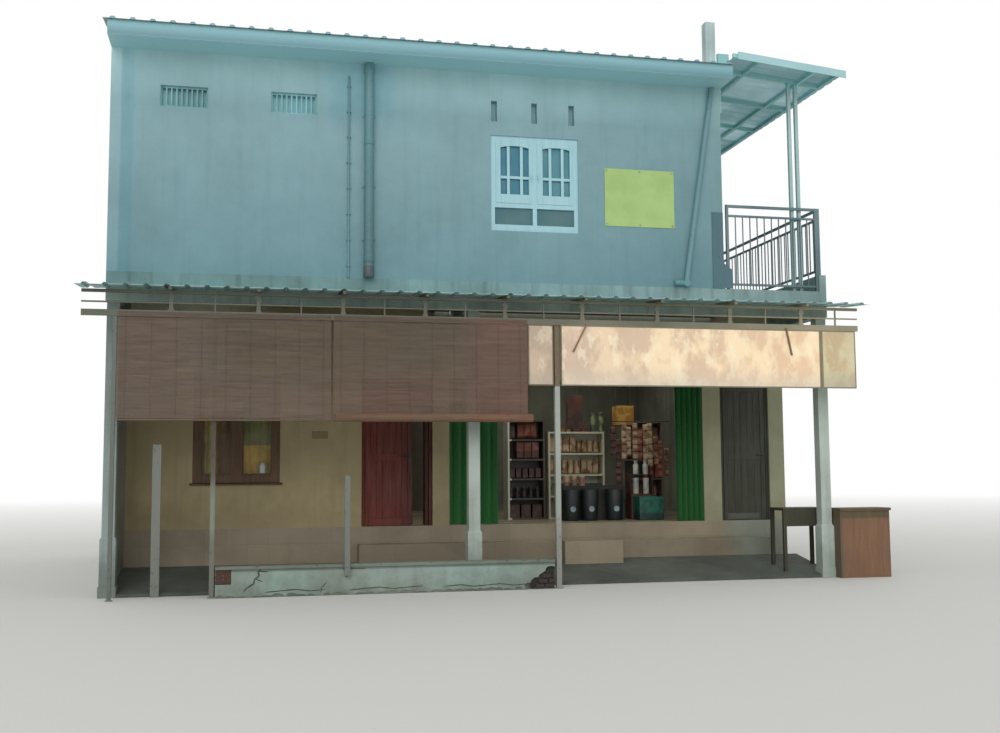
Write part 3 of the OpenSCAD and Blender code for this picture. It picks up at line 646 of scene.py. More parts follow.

# %% [markdown]
# The truss is darker on the left and lighter and warmer towards the right: painted shade at its
# left end and painted light at its right end. High up, the canopy's bars are bluer and lighter, a
# blue tone with painted light where the canopy shades them, and the awning's sheet is darkest at
# its left end. The posts are darker on the left, the gate posts are browner high up and paler at
# waist height, and the shop post and the wide rain pipe darken towards their feet.

# %% Tints of steel
TRUSS_HEIGHT = (2.0, 4.2, 0.02)
AWNING_HEIGHT = (3.9, 4.1, 0.01)
POST_HEIGHT = (-1.0, 4.0, 0.02)
GATE_POSTS = (-4.2, -3.0, 0.02)
SHOP_POST = (0.40, 0.90, 0.01)
RACK_HEIGHT = (0.7, 2.6, 0.01)
tint_patch(STEEL_PAINT, (0.72, 0.59, 0.47), Z=TRUSS_HEIGHT)
# Painted shade on the truss's left end.
tint_patch(STEEL_PAINT, (0.62, 0.68, 0.74), X=(-9.0, 0.2, 1.2), Z=TRUSS_HEIGHT)
# Painted light on the truss's right end, where it is lit warm.
tint_patch(STEEL_PAINT, (2.0, 1.85, 1.8), X=(3.8, 9.0, 1.2), Z=TRUSS_HEIGHT)
# The canopy's bars: their blue tone, with painted light where the canopy shades them.
tint_patch(STEEL_PAINT, (1.25, 2.05, 2.35), Z=(7.35, 9.0, 0.02))
tint_patch(STEEL_PAINT, (1.45, 1.78, 1.98), Z=(4.3, 7.35, 0.02))
tint_patch(ROOF_SHEET, (1.30, 1.66, 1.74), Z=AWNING_HEIGHT)
tint_patch(ROOF_SHEET, (0.85, 0.90, 0.90), 0.6, X=(-9.0, -3.0, 1.0), Z=AWNING_HEIGHT)
tint_patch(EAVE_PAINT, (0.60, 0.64, 0.67), Z=(7.0, 7.34, 0.05))
tint_patch(EAVE_PAINT, (0.92, 0.93, 0.93), X=(2.6, 9.0, 0.5))
# Painted light on the eave's underside, which lies in the eave's own shade.
tint_patch(EAVE_PAINT, (2.5, 2.05, 1.90), Z=(7.0, 7.262, 0.001))
tint_patch(POST_PAINT, (0.37, 0.35, 0.30), X=GATE_POSTS, Z=POST_HEIGHT)
tint_patch(POST_PAINT, (0.44, 0.43, 0.40), X=(-4.7, -4.2, 0.02), Z=POST_HEIGHT)
tint_patch(POST_PAINT, (0.42, 0.42, 0.42), X=(-3.0, -1.5, 0.02), Z=POST_HEIGHT)
tint_patch(POST_PAINT, (0.60, 0.51, 0.42), X=GATE_POSTS, Z=(1.9, 4.0, 0.3))
tint_patch(POST_PAINT, (0.57, 0.47, 0.35), X=GATE_POSTS, Z=(1.5, 4.0, 0.08))
tint_patch(POST_PAINT, (1.30, 1.43, 1.45), X=GATE_POSTS, Z=(0.8, 1.35, 0.1))
tint_patch(POST_PAINT, (0.31, 0.32, 0.30), X=(-9.0, -4.7, 0.02), Z=POST_HEIGHT)
tint_patch(POST_PAINT, (0.42, 0.28, 0.19), X=SHOP_POST, Z=(2.74, 4.0, 0.01))
tint_patch(POST_PAINT, (0.62, 0.50, 0.40), X=(0.91, 6.0, 0.01), Z=(2.60, 4.0, 0.01))
tint_patch(POST_PAINT, (0.84, 0.82, 0.79), X=SHOP_POST, Z=(-1.0, 1.75, 0.3))
tint_patch(POST_PAINT, (0.76, 0.70, 0.70), X=SHOP_POST, Z=(-1.0, 0.85, 0.2))
tint_patch(PIPE_PLASTIC, (0.59, 0.61, 0.61), X=(-1.83, -1.62, 0.005), Z=(3.0, 5.6, 1.1))
tint_patch(DARK_STEEL, (4.2, 2.0, 1.0), Z=(3.0, 3.8, 0.02))
tint_patch(DARK_STEEL, (0.80, 0.55, 0.42), Z=(0.5, 2.5, 0.1))
tint_patch(DARK_STEEL, (2.3, 2.7, 2.8), Z=(4.2, 5.6, 0.02))
# Painted shade: the left rack stands in the shop's deep shade, so its pale paint is darkened.
tint_patch(SHELF_PAINT, (0.09, 0.07, 0.065), X=(0.985, 1.61, 0.002), Z=RACK_HEIGHT)
tint_patch(SHELF_PAINT, (0.90, 0.86, 0.72), X=(1.61, 2.70, 0.002), Z=RACK_HEIGHT)
tint_patch(SHELF_PAINT, (0.24, 0.20, 0.18), X=(2.70, 4.0, 0.002), Z=RACK_HEIGHT)

# %% Wood finishes
RED_WOOD = finish("red_wood", UPRIGHT_WOOD, {
    "Light": srgb(120, 48, 30), "Dark": srgb(74, 28, 18), "Grain": 0.55, "Dirt": 0.25}, 0.2, 0.002)
SIDE_WOOD = finish("side_door_wood", UPRIGHT_WOOD, {
    "Light": srgb(59, 61, 46), "Dark": srgb(36, 37, 26), "Grain": 0.6, "Dirt": 0.3}, 0.2, 0.002)
BROWN_WOOD = finish("brown_wood", UPRIGHT_WOOD, {
    "Light": srgb(104, 74, 44), "Dark": srgb(62, 44, 26), "Grain": 0.6, "Dirt": 0.2}, 0.2, 0.002)
WHITE_WOOD = finish("white_wood", UPRIGHT_WOOD, {
    "Light": srgb(170, 212, 220), "Dark": srgb(146, 188, 198), "Grain": 0.35, "Dirt": 0.06}, 0.08, 0.001)
COUNTER_BOARD = finish("counter_board", UPRIGHT_WOOD, {
    "Light": srgb(132, 97, 70), "Dark": srgb(94, 68, 48), "Grain": 0.5, "Dirt": 0.3}, 0.2, 0.002)
COUNTER_DARK = finish("counter_dark", LEVEL_WOOD, {
    "Light": srgb(40, 38, 38), "Dark": srgb(24, 23, 24), "Grain": 0.5, "Dirt": 0.3}, 0.15, 0.002)
BAMBOO = finish("blind_slats", LEVEL_WOOD, {
    "Light": srgb(111, 93, 78), "Dark": srgb(76, 62, 51), "Grain": 0.55, "Dirt": 0.3}, 0.25, 0.002)

# %% [markdown]
# The street counter's board darkens to olive along its top and at its corner post, and the
# serving table beside it is older and greyer. The side door's frame was never painted red, so
# the red wood turns olive there, and the red door is painted darker towards the wide leaf's lock:
# painted shade, where it stands in the porch's deep shade. The roll at the foot of the right blind
# is bleached, and the blinds are smoky in the middle and redder at the shop.

# %% Tints of wood
tint_patch(COUNTER_BOARD, (0.55, 0.72, 0.62), X=(5.155, 6.0, 0.002), Z=(0.86, 1.1, 0.003))
tint_patch(COUNTER_BOARD, (0.63, 0.85, 1.0), X=(5.155, 5.20, 0.002), Z=(0.0, 0.86, 0.003))
tint_patch(
    COUNTER_BOARD, (0.19, 0.34, 0.29), X=(4.3, 5.155, 0.002), Y=(0.15, 1.0, 0.002), Z=(-1.0, 1.2, 0.002))
tint_patch(RED_WOOD, (0.21, 1.36, 1.50), X=(3.9, 5.2, 0.01))
# Painted shade on the red door next to the wide leaf's lock.
tint_patch(RED_WOOD, (0.45, 0.50, 0.50), X=(-0.70, -0.50, 0.005))
tint_patch(RED_WOOD, (0.90, 0.62, 0.48), X=(-2.0, 1.0, 0.01))
# Painted shade on the wide leaf, darker towards its lock.
tint_patch(RED_WOOD, (0.50, 0.50, 0.56), X=(-1.0, -0.75, 0.1))
tint_patch(BAMBOO, (0.78, 0.80, 0.72), X=(-3.7, -0.45, 0.3), Z=(2.85, 3.7, 0.25))
tint_patch(BAMBOO, (0.96, 0.83, 0.80), X=(-2.2, -0.45, 0.4), Z=(2.0, 2.85, 0.25))
tint_patch(BAMBOO, (1.12, 0.88, 0.88), X=(-0.40, 0.6, 0.15))
tint_patch(BAMBOO, (1.35, 1.3, 1.1), X=(-2.215, 0.6, 0.01), Y=(-0.6, -0.4, 0.1), Z=(2.0, 2.365, 0.01))

# %% [markdown]
# The steps and the shop floor are laid in square tiles with narrow cement joints. A brick
# texture without an offset draws the joints, and each tile varies a little in tone.

# %% Tile finish
def build_tile_finish(name, tile, joint, pitch, level):
    """Square tiles of one pitch, in metres, between joints; the level says how worn they are."""
    material, tree, shader = start_material(name)
    place = own_place(tree)
    axes = split_axes(tree, place)
    # A riser has no run in Y, so height is added to depth: both faces then show square tiles.
    flat = tree.nodes.new("ShaderNodeCombineXYZ")
    tree.links.new(axes["X"], flat.inputs["X"])
    tree.links.new(place_math(tree, "ADD", axes["Y"], axes["Z"]), flat.inputs["Y"])
    bricks = tree.nodes.new("ShaderNodeTexBrick")
    bricks.offset = 0.0
    darker = [part * 0.93 for part in tile[:3]] + [1.0]
    for label, value in (
            ("Scale", 1.0), ("Brick Width", pitch), ("Row Height", pitch), ("Mortar Size", 0.003),
            ("Color1", tile), ("Color2", darker), ("Mortar", joint)):
        bricks.inputs[label].default_value = value
    tree.links.new(flat.outputs["Vector"], bricks.inputs["Vector"])
    worn = place_range(tree, place_noise(tree, place, 1.6, 5.0), 0.4, 0.7)
    speck = place_range(tree, place_noise(tree, place, 60.0, 3.0), 0.3, 0.7)
    wear = place_math(tree, "MULTIPLY", worn, level)
    color = place_mix(tree, wear, bricks.outputs["Color"], srgb(96, 88, 72))
    color = place_mix(tree, place_math(tree, "MULTIPLY", speck, 0.12), color, srgb(120, 110, 92))
    tree.links.new(color, shader.inputs["Base Color"])
    tree.links.new(place_range(tree, worn, 0.0, 1.0, 0.3, 0.7), shader.inputs["Roughness"])
    add_relief(tree, bricks.outputs["Fac"], 0.5, 0.003, sunken=True)
    return material


STEP_TILE = build_tile_finish("step_tile", srgb(146, 134, 112), srgb(134, 122, 102), 0.3, 0.4)
tint_patch(STEP_TILE, (0.80, 0.80, 0.78), Y=(1.2, 1.26, 0.002), Z=(-1.0, 0.53, 0.002))
tint_patch(STEP_TILE, (0.95, 1.22, 1.45), 0.4, X=(4.15, 6.0, 0.2), Y=(0.0, 2.0, 0.1))

# %% [markdown]
# The sign is a bare sheet that has bleached in the sun. Low light comes through leaves, and it
# lies on the sheet as soft bright patches, so the finish carries them as painted sunlight: warm
# patches and flecks over a pink beige sheet, greyer near its foot. The long middle sheet gets
# more of this painted light than the short ones at its ends.

# %% Sign finish
def build_sign_finish():
    """A bleached sheet with soft patches of sunlight, warmer to the right and greyer at its foot."""
    material, tree, shader = start_material("sign_panel")
    place = own_place(tree)
    axes = split_axes(tree, place)
    drawn_out = (1.0, 1.0, 0.6)
    patch = place_range(tree, place_noise(tree, place, 3.4, 3.5, 0.6, drawn_out), 0.44, 0.58)
    sun_fleck = place_range(tree, place_noise(tree, place, 6.0, 3.0, 0.6, drawn_out), 0.54, 0.60)
    warm = place_range(tree, axes["X"], 0.4, 5.3)
    foot = place_range(tree, axes["Z"], 3.05, 2.8)
    base = place_mix(tree, warm, srgb(204, 182, 164), srgb(240, 206, 168))
    lit = place_math(tree, "MULTIPLY", patch, place_range(tree, axes["X"], 0.9, 2.6, 0.35, 0.9))
    color = place_mix(tree, lit, base, srgb(255, 232, 194))
    color = place_mix(tree, place_math(tree, "MULTIPLY", sun_fleck, 0.45), color, srgb(255, 244, 216))
    color = place_mix(tree, place_math(tree, "MULTIPLY", foot, 0.6), color, srgb(206, 196, 180))
    tree.links.new(color, shader.inputs["Base Color"])
    tree.links.new(place_range(tree, sun_fleck, 0.0, 1.0, 0.45, 0.7), shader.inputs["Roughness"])
    add_relief(tree, patch, 0.25, 0.01)
    return material


SIGN_PANEL = build_sign_finish()
# Painted light: the long middle sheet is lightened, and the short end sheets get less of it.
tint_patch(SIGN_PANEL, (1.10, 1.09, 1.07), X=(0.885, 4.80, 0.01))
tint_patch(SIGN_PANEL, (0.84, 0.82, 0.80), X=(-1.0, 0.8, 0.01))
tint_patch(SIGN_PANEL, (0.72, 0.78, 0.72), X=(4.80, 6.0, 0.01))

# %% [markdown]
# Canopy sheets are pale plastic that lets daylight through. Some bays were covered with a
# clearer sheet, so the finish brightens there. From below, the light through a sheet matters
# more than the light on it, so the finish gives off a little of its own in those bays.

# %% Canopy finish
def build_canopy_finish():
    """Pale plastic in bays, some clearer than others, that gives off a little light."""
    material, tree, shader = start_material("canopy_sheet", Emission_Strength=0.3)
    place = own_place(tree)
    wave = tree.nodes.new("ShaderNodeTexWave")
    wave.bands_direction = "Y"
    wave.inputs["Scale"].default_value = 0.16
    wave.inputs["Phase Offset"].default_value = 0.9
    tree.links.new(place, wave.inputs["Vector"])
    clear = place_range(tree, wave.outputs["Fac"], 0.55, 0.6)
    dirt = place_range(tree, place_noise(tree, place, 1.4, 5.0), 0.4, 0.7)
    color = place_mix(tree, clear, srgb(146, 182, 186), srgb(186, 216, 220))
    color = place_mix(tree, place_math(tree, "MULTIPLY", dirt, 0.35), color, srgb(110, 138, 140))
    tree.links.new(color, shader.inputs["Base Color"])
    tree.links.new(color, shader.inputs["Emission Color"])
    tree.links.new(place_range(tree, dirt, 0.0, 1.0, 0.35, 0.7), shader.inputs["Roughness"])
    return material


CANOPY_SHEET = build_canopy_finish()
tint_patch(CANOPY_SHEET, (0.40, 0.55, 0.58), Y=(-0.50, 1.2, 0.02))
tint_patch(CANOPY_SHEET, (0.50, 0.66, 0.69), X=(4.35, 6.0, 0.03), Y=(1.2, 9.0, 0.02))

# %% [markdown]
# Glass is tinted, and a little dust in the roughness keeps it from turning into a mirror. The
# upper panes hide the room, and their colour is a painted reflection of the sky: blue in the
# casements, warmer and greyer in the low fixed lights and paler in the right casement. The ground
# floor's panes are plain, so their Alpha lets the curtains show. The banner is woven cloth, so its
# bump is a row of fine threads.

# %% Glass and cloth finishes
WEAVE_SCALE = 143.24367


def build_glass():
    """Plain panes that show the room on the ground floor, and upstairs a painted reflection of the sky."""
    material, tree, shader = start_material("window_glass", Transmission_Weight=0.35, IOR=1.45)
    place = own_place(tree)
    dust = place_range(tree, place_noise(tree, place, 3.0, 5.0), 0.4, 0.75)
    upstairs = place_range(tree, split_axes(tree, place)["Z"], 3.9, 4.1)
    # The blue is a painted reflection of the sky.
    blue = place_mix(tree, dust, srgb(77, 150, 174), srgb(99, 163, 180))
    plain = place_mix(tree, dust, srgb(84, 92, 84), srgb(112, 116, 104))
    tree.links.new(place_mix(tree, upstairs, plain, blue), shader.inputs["Base Color"])
    tree.links.new(place_range(tree, upstairs, 0.0, 1.0, 0.25, 1.0), shader.inputs["Alpha"])
    tree.links.new(place_range(tree, dust, 0.0, 1.0, 0.06, 0.22), shader.inputs["Roughness"])
    return material


def build_cloth(name, base, fold):
    """Woven cloth, faded in patches, with its threads as fine relief."""
    material, tree, shader = start_material(name, Roughness=0.85)
    place = own_place(tree)
    fade = place_range(tree, place_noise(tree, place, 3.2, 4.0), 0.38, 0.68)
    thread = tree.nodes.new("ShaderNodeTexWave")
    thread.inputs["Scale"].default_value = WEAVE_SCALE
    tree.links.new(place, thread.inputs["Vector"])
    faded = place_math(tree, "MULTIPLY", fade, 0.7)
    tree.links.new(place_mix(tree, faded, base, fold), shader.inputs["Base Color"])
    add_relief(tree, thread.outputs["Fac"], 0.15, 0.001)
    return material


GLASS = build_glass()
# Painted reflection: the low fixed lights reflect a warmer, greyer tone.
tint_patch(GLASS, (1.22, 0.80, 0.66), 0.2, Z=(5.0, 5.37, 0.01))
# Painted reflection: the right casement's panes are paler.
tint_patch(GLASS, (1.45, 1.22, 1.08), 0.2, X=(0.66, 1.4, 0.01), Z=(5.4, 6.4, 0.01))
BANNER_CLOTH = build_cloth("banner_cloth", srgb(172, 201, 131), srgb(156, 186, 116))

# %% [markdown]
# Each carried part now gets its finish by the slot that the record names for it. Where one part
# has two tones, as the door frames do, a tint on its finish has made the second one.

# %% Give the carried parts their finish
FINISHES = {
    "concrete": CONCRETE, "step_tile": STEP_TILE, "porch_concrete": PORCH_CONCRETE,
    "cream_plaster": CREAM_PLASTER, "grey_plaster": GREY_PLASTER, "column_paint": COLUMN_PAINT,
    "upper_plaster": UPPER_PLASTER, "white_wood": WHITE_WOOD, "brown_wood": BROWN_WOOD,
    "window_glass": GLASS, "roof_sheet": ROOF_SHEET, "canopy_sheet": CANOPY_SHEET,
    "steel_paint": STEEL_PAINT, "dark_steel": DARK_STEEL, "eave_paint": EAVE_PAINT,
    "low_wall_paint": LOW_WALL_PAINT, "counter_board": COUNTER_BOARD, "sign_panel": SIGN_PANEL,
    "blind_slats": BAMBOO, "red_wood": RED_WOOD, "side_door_wood": SIDE_WOOD,
    "green_steel": GREEN_STEEL, "banner_cloth": BANNER_CLOTH, "pipe_plastic": PIPE_PLASTIC,
    "post_paint": POST_PAINT, "shelf_paint": SHELF_PAINT, "counter_dark": COUNTER_DARK}

for part in frame["record"]["subparts"]:
    piece = nodes[part["node"]]
    piece.data.materials.clear()
    piece.data.materials.append(FINISHES[part["material_slot"]])
print("finished", len(nodes), "carried parts")

# %% [markdown]
# The roof is zinc sheet with pressed ribs, about 0.25 m apart, that carry rain down the slope.
# A rolling mill presses one bay after another, so here one bay is a narrow grid whose middle
# rows are lifted into a rib. An Array repeats it, and lifting the far edge gives the slope.

# %% Ribbed sheets
RIB = 0.026
SHEET_GAUGE = 0.0016
ROOF_SLOPE = 0.12
ROOF_BAYS = 35
AWNING_BAYS = 44
AWNING_SLAB = 0.03


def ribbed_sheet(name, low, high, bays, rise, along="Y"):
    """A ribbed sheet between two corners at the low edge's height; rise lifts the far edge."""
    across, run = (0, 1) if along == "Y" else (1, 0)
    bay = (high[across] - low[across]) / bays
    cuts = [1, 1]
    cuts[across] = 12
    size = [high[0] - low[0], high[1] - low[1]]
    size[across] = bay
    step = [0.0, 0.0, 0.0]
    step[across] = bay
    middle = (low[0] + size[0] / 2, low[1] + size[1] / 2, low[2] + 0.002)
    sheet = start_grid(name, cuts, size, middle, upright=False)
    rib = low[across] + bay / 2
    move_points(sheet, lambda place: abs(place[across] - rib) < bay * 0.13, (0.0, 0.0, RIB))
    repeat(sheet, bays, step, merge=True)
    move_points(sheet, lambda place: place[run] > high[run] - 0.01, (0.0, 0.0, rise))
    return thicken(sheet, SHEET_GAUGE)


ROOF_LOW, ROOF_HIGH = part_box("main_roof")
roof_run = ROOF_HIGH.y - ROOF_LOW.y
main_sheet = ribbed_sheet("roof_ribbed_sheet", ROOF_LOW, ROOF_HIGH, ROOF_BAYS, roof_run * ROOF_SLOPE)

# %% [markdown]
# The corner's concrete stub stands up through the roof, and the roofer cut the sheet round it.
# A Boolean with a block a little wider than the stub makes the same cut.

# %% Cut the sheet round the stub
stub_low, stub_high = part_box("corner_stub")
gap = Vector((0.004, 0.004, 0.0))
cut_with(main_sheet, start_block("stub_cutter", stub_low - gap, stub_high + gap))
settle(main_sheet, ROOF_SHEET)
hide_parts("main_roof")

# A filler closes each rib's open end over the eave.
roof_bay = (ROOF_HIGH.x - ROOF_LOW.x) / ROOF_BAYS
middle = ROOF_LOW.x + roof_bay / 2
filler = start_block(
    "roof_rib_fillers", (middle - roof_bay * 0.16, ROOF_LOW.y + 0.006, ROOF_LOW.z + 0.003),
    (middle + roof_bay * 0.16, ROOF_LOW.y + 0.014, ROOF_LOW.z + RIB + 0.002))
scale_points(
    filler, lambda place: place.z > ROOF_LOW.z + RIB * 0.6,
    (0.5, 1.0, 1.0), (middle, ROOF_LOW.y + 0.01, ROOF_LOW.z))
repeat(filler, ROOF_BAYS, (roof_bay, 0.0, 0.0))
settle(filler, EAVE_PAINT)

AWNING_LOW, AWNING_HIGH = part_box("awning_roof")
awning_rise = AWNING_HIGH.z - AWNING_LOW.z - AWNING_SLAB
awning_sheet = ribbed_sheet("awning_ribbed_sheet", AWNING_LOW, AWNING_HIGH, AWNING_BAYS, awning_rise)
settle(awning_sheet, ROOF_SHEET)
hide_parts("awning_roof")

# %% [markdown]
# Over the terrace the ribs run the other way, because that canopy falls to the right. It is wider
# over its front third. Along its street edge a folded strip covers the ribs' open ends.

# %% Canopy sheets
CANOPY_LOW, CANOPY_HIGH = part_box("canopy_roof")
CANOPY_FALL = -0.1
CANOPY_TOP_X, CANOPY_TOP_Z = 3.52, 7.625
CANOPY_STEP_Y = 2.36
FRONT_EDGE, REAR_EDGE = 5.30, 5.21
canopy_foot = CANOPY_TOP_Z + CANOPY_FALL * (CANOPY_LOW.x - CANOPY_TOP_X)
front_fall = CANOPY_FALL * (FRONT_EDGE - CANOPY_LOW.x)
rear_fall = CANOPY_FALL * (REAR_EDGE - CANOPY_LOW.x)
canopy_front = ribbed_sheet(
    "canopy_front_sheet", (CANOPY_LOW.x, CANOPY_LOW.y + 0.013, canopy_foot),
    (FRONT_EDGE, CANOPY_STEP_Y), 12, front_fall, along="X")
canopy_rear = ribbed_sheet(
    "canopy_rear_sheet", (CANOPY_LOW.x, CANOPY_STEP_Y, canopy_foot),
    (REAR_EDGE, CANOPY_HIGH.y), 25, rear_fall, along="X")
flashing = start_block(
    "canopy_flashing", (CANOPY_LOW.x, CANOPY_LOW.y, canopy_foot - 0.08),
    (FRONT_EDGE, CANOPY_LOW.y + 0.012, canopy_foot + 0.03))
move_points(flashing, lambda place: place.x > FRONT_EDGE - 0.1, (0.0, 0.0, front_fall))
canopy = join("canopy_ribbed_sheets", [canopy_front, canopy_rear, flashing])
settle(canopy, CANOPY_SHEET)
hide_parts("canopy_roof")
print("sheets:", [len(piece.data.polygons) for piece in (main_sheet, awning_sheet, canopy)])

# %% [markdown]
# Rolled blinds of split bamboo hang under the truss. Each slat is a thin strip as long as the
# blind; a grid with some cuts along its length bends, so the whole stack can belly a little. The
# slats are stacked by an Array, and a soft cloud texture pushes the stack in and out by a few
# millimetres, as the wind leaves it.

# %% Bamboo blinds
BLIND_LOW, BLIND_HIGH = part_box("blinds")
BLIND_SPANS = ((-4.95, -2.255), (-2.225, 0.41))
SLAT_PITCH = 0.0134
CORD_COLUMNS = 9
BATTEN_Y = -0.4425
clouds = bpy.data.textures.new("blind_sway", "CLOUDS")
clouds.noise_scale = 0.7


def slatted_blind(name, left, right):
    """A stack of slats between two upright lines, tied by cords, over a foot batten."""
    middle = ((left + right) / 2, (BLIND_LOW.y + BLIND_HIGH.y) / 2, BLIND_LOW.z + 0.04)
    slat = start_grid(name, (18, 1), (right - left, 0.0112), middle)
    count = int((BLIND_HIGH.z - BLIND_LOW.z - 0.05) / SLAT_PITCH) + 1
    repeat(slat, count, (0.0, 0.0, SLAT_PITCH))
    thicken(slat, 0.003)
    # A cord ties each column of slats, on their street side.
    parts = [slat]
    for i in range(CORD_COLUMNS):
        x = left + 0.1 + i * (right - left - 0.2) / (CORD_COLUMNS - 1)
        y = BLIND_LOW.y + 0.003
        parts.append(start_rod("tie", 0.0022, (x, y, BLIND_LOW.z + 0.03), (x, y, BLIND_HIGH.z), 6))
    # The foot batten keeps the blind straight.
    z = BLIND_LOW.z + 0.014
    parts.append(start_rod("foot", 0.013, (left, BATTEN_Y, z), (right, BATTEN_Y, z), 12))
    blind = join(name, parts)
    apply_modifier(
        blind, "DISPLACE", texture=clouds, texture_coords="GLOBAL", direction="Y", strength=0.02,
        mid_level=0.5)
    return settle(blind, BAMBOO)


blind_left = slatted_blind("blind_left", *BLIND_SPANS[0])
slatted_blind("blind_right", *BLIND_SPANS[1])
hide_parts("blinds")
print("blind slats:", len(blind_left.data.polygons), "faces in the left blind")

# %% [markdown]
# The right blind hangs too long, so its foot is rolled up into a thick roll, a little wider than
# the blind at its right end. A rod is the roll's core, thin slats lie in a ring round it, and four
# ties hold it together. Above both blinds a few loose slats cover the truss's lower bar.

# %% Rolled foot and top slats
ROLL_Y = -0.462
ROLL_RADIUS = 0.052
ROLL_SLATS = 20
roll_z = BLIND_LOW.z + ROLL_RADIUS
winding = [start_rod("blind_roll", ROLL_RADIUS, (-2.2, ROLL_Y, roll_z), (0.475, ROLL_Y, roll_z), 40)]
for turn in range(ROLL_SLATS):
    angle = turn * 2 * math.pi / ROLL_SLATS
    y = ROLL_Y + ROLL_RADIUS * math.cos(angle)
    z = roll_z + ROLL_RADIUS * math.sin(angle)
    winding.append(start_rod("wound_slat", 0.0045, (-2.2, y, z), (0.47, y, z), 6))
for x in (-1.9, -1.2, -0.5, 0.15):
    winding.append(start_rod("roll_tie", 0.0585, (x, ROLL_Y, roll_z), (x + 0.012, ROLL_Y, roll_z), 24))
settle(smooth(join("blind_roll", winding), 50), BAMBOO)
top_slats = []
for left, right in BLIND_SPANS:
    strip = start_block("top_slat", (left, -0.458, 3.585), (right, -0.4545, 3.5962))
    top_slats.append(repeat(strip, 5, (0.0, 0.0, SLAT_PITCH)))
settle(join("blind_top_slats", top_slats), BAMBOO)

# %% [markdown]
# The sign panels are thin sheets in folded frames. The carried panel stays, and gets the frame
# that shows round it: a strip along each edge, a little proud of the sheet, with rounded edges.

# %% Sign frames
SIGN_LOW, SIGN_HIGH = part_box("signboard")
STRIP = 0.016
SEAM_X = 2.81


def strip_frame(left, right, bottom, top, face, proud):
    """Four strips inside an upright rectangle, which stand proud of a face."""
    return [
        start_block("strip", (left, face - proud, bottom), (right, face, bottom + STRIP)),
        start_block("strip", (left, face - proud, top - STRIP), (right, face, top)),
        start_block("strip", (left, face - proud, bottom + STRIP), (left + STRIP, face, top - STRIP)),
        start_block("strip", (right - STRIP, face - proud, bottom + STRIP), (right, face, top - STRIP))]


sign_strips = []
for left, right in ((0.42, 0.78), (0.885, 4.79), (4.815, 5.35)):
    sign_strips += strip_frame(left, right, SIGN_LOW.z, SIGN_HIGH.z, SIGN_LOW.y, 0.004)
assemble("sign_frame", sign_strips, 0.0015, POST_PAINT)
# Two sheets meet on the long sign under a thin cover strip.
seam = start_block(
    "sign_seam", (SEAM_X - 0.004, SIGN_LOW.y - 0.002, SIGN_LOW.z + 0.017),
    (SEAM_X + 0.004, SIGN_LOW.y, SIGN_HIGH.z - 0.017))
assemble("sign_seam", [seam], 0.0006, SIGN_PANEL)

# %% [markdown]
# The upper window has two casements over two fixed lights. A casement is a frame with an arched
# head board and slim upright bars. The same steps make both, and the pair is copied to the
# window at the back. The arch is a Boolean cut: a wide cylinder lifts the middle of the head
# board's lower edge.

# %% Upper window casements
BACK_FACE = 8.5
WINDOW_FACE = 0.011
WINDOW_BACK = 0.036
SASH_BOTTOM, SASH_TOP = 5.386, 6.275
GLASS_LOW, GLASS_HIGH = 5.515, 6.2
CROSS_LOW, CROSS_HIGH = 5.74, 5.78
ARCH_RADIUS = 0.8
BAR_HALF = 0.021


def casement(left, right, glass_left, glass_right, bars):
    """One casement between its outer edges, round its glass, with its bars and arched head."""
    parts = []
    for name, low_x, high_x, face, low_z, high_z in (
            ("stile", left, glass_left, WINDOW_FACE, SASH_BOTTOM, SASH_TOP),
            ("stile", glass_right, right, WINDOW_FACE, SASH_BOTTOM, SASH_TOP),
            ("rail", glass_left, glass_right, WINDOW_FACE, SASH_BOTTOM, GLASS_LOW),
            ("cross", glass_left, glass_right, WINDOW_FACE + 0.006, CROSS_LOW, CROSS_HIGH),
            ("head", glass_left, glass_right, WINDOW_FACE, GLASS_HIGH - 0.03, SASH_TOP)):
        parts.append(start_block(name, (low_x, face, low_z), (high_x, WINDOW_BACK, high_z)))
    middle = (glass_left + glass_right) / 2
    centre_z = GLASS_HIGH + 0.02 - ARCH_RADIUS
    cutter = start_rod(
        "arch", ARCH_RADIUS, (middle, WINDOW_FACE - 0.1, centre_z), (middle, WINDOW_BACK + 0.1, centre_z),
        64)
    cut_with(parts[-1], cutter)
    for x in bars:
        parts.append(start_block("bar", (x - BAR_HALF, WINDOW_FACE + 0.004, GLASS_LOW),
                                 (x + BAR_HALF, WINDOW_BACK, GLASS_HIGH + 0.01)))
    return soften(join("casement", parts), 0.004)


joinery = [
    casement(0.085, 0.618, 0.155, 0.572, (0.27, 0.462)),
    casement(0.692, 1.225, 0.775, 1.178, (0.885, 1.068))]
for x in (0.606, 0.704):
    joinery.append(start_block("plate", (x - 0.011, 0.003, 5.70), (x + 0.011, WINDOW_FACE, 5.82)))
    joinery.append(start_block("grip", (x - 0.006, -0.018, 5.74), (x + 0.006, 0.003, 5.80)))
upper_joinery = join("upper_window_casements", joinery)
# The back window looks the other way, so its copy is turned end for end in depth.
back_joinery = copy_piece("back_window_casements", upper_joinery)
pick(back_joinery, "VERT", lambda place: True)
bpy.ops.transform.resize(value=(1.0, -1.0, 1.0), center_override=(0.0, BACK_FACE / 2, 0.0))
bpy.ops.mesh.normals_make_consistent(inside=False)
done_editing()
for piece in (upper_joinery, back_joinery):
    settle(piece, WHITE_WOOD)

# %% [markdown]
# Behind the ground floor's brown window hang two curtains. Gathered cloth falls in folds: a fine
# grid is pushed in and out by a row of sines, one upright row of vertices at a time. Laid flat,
# each cloth is a quarter wider than it hangs.

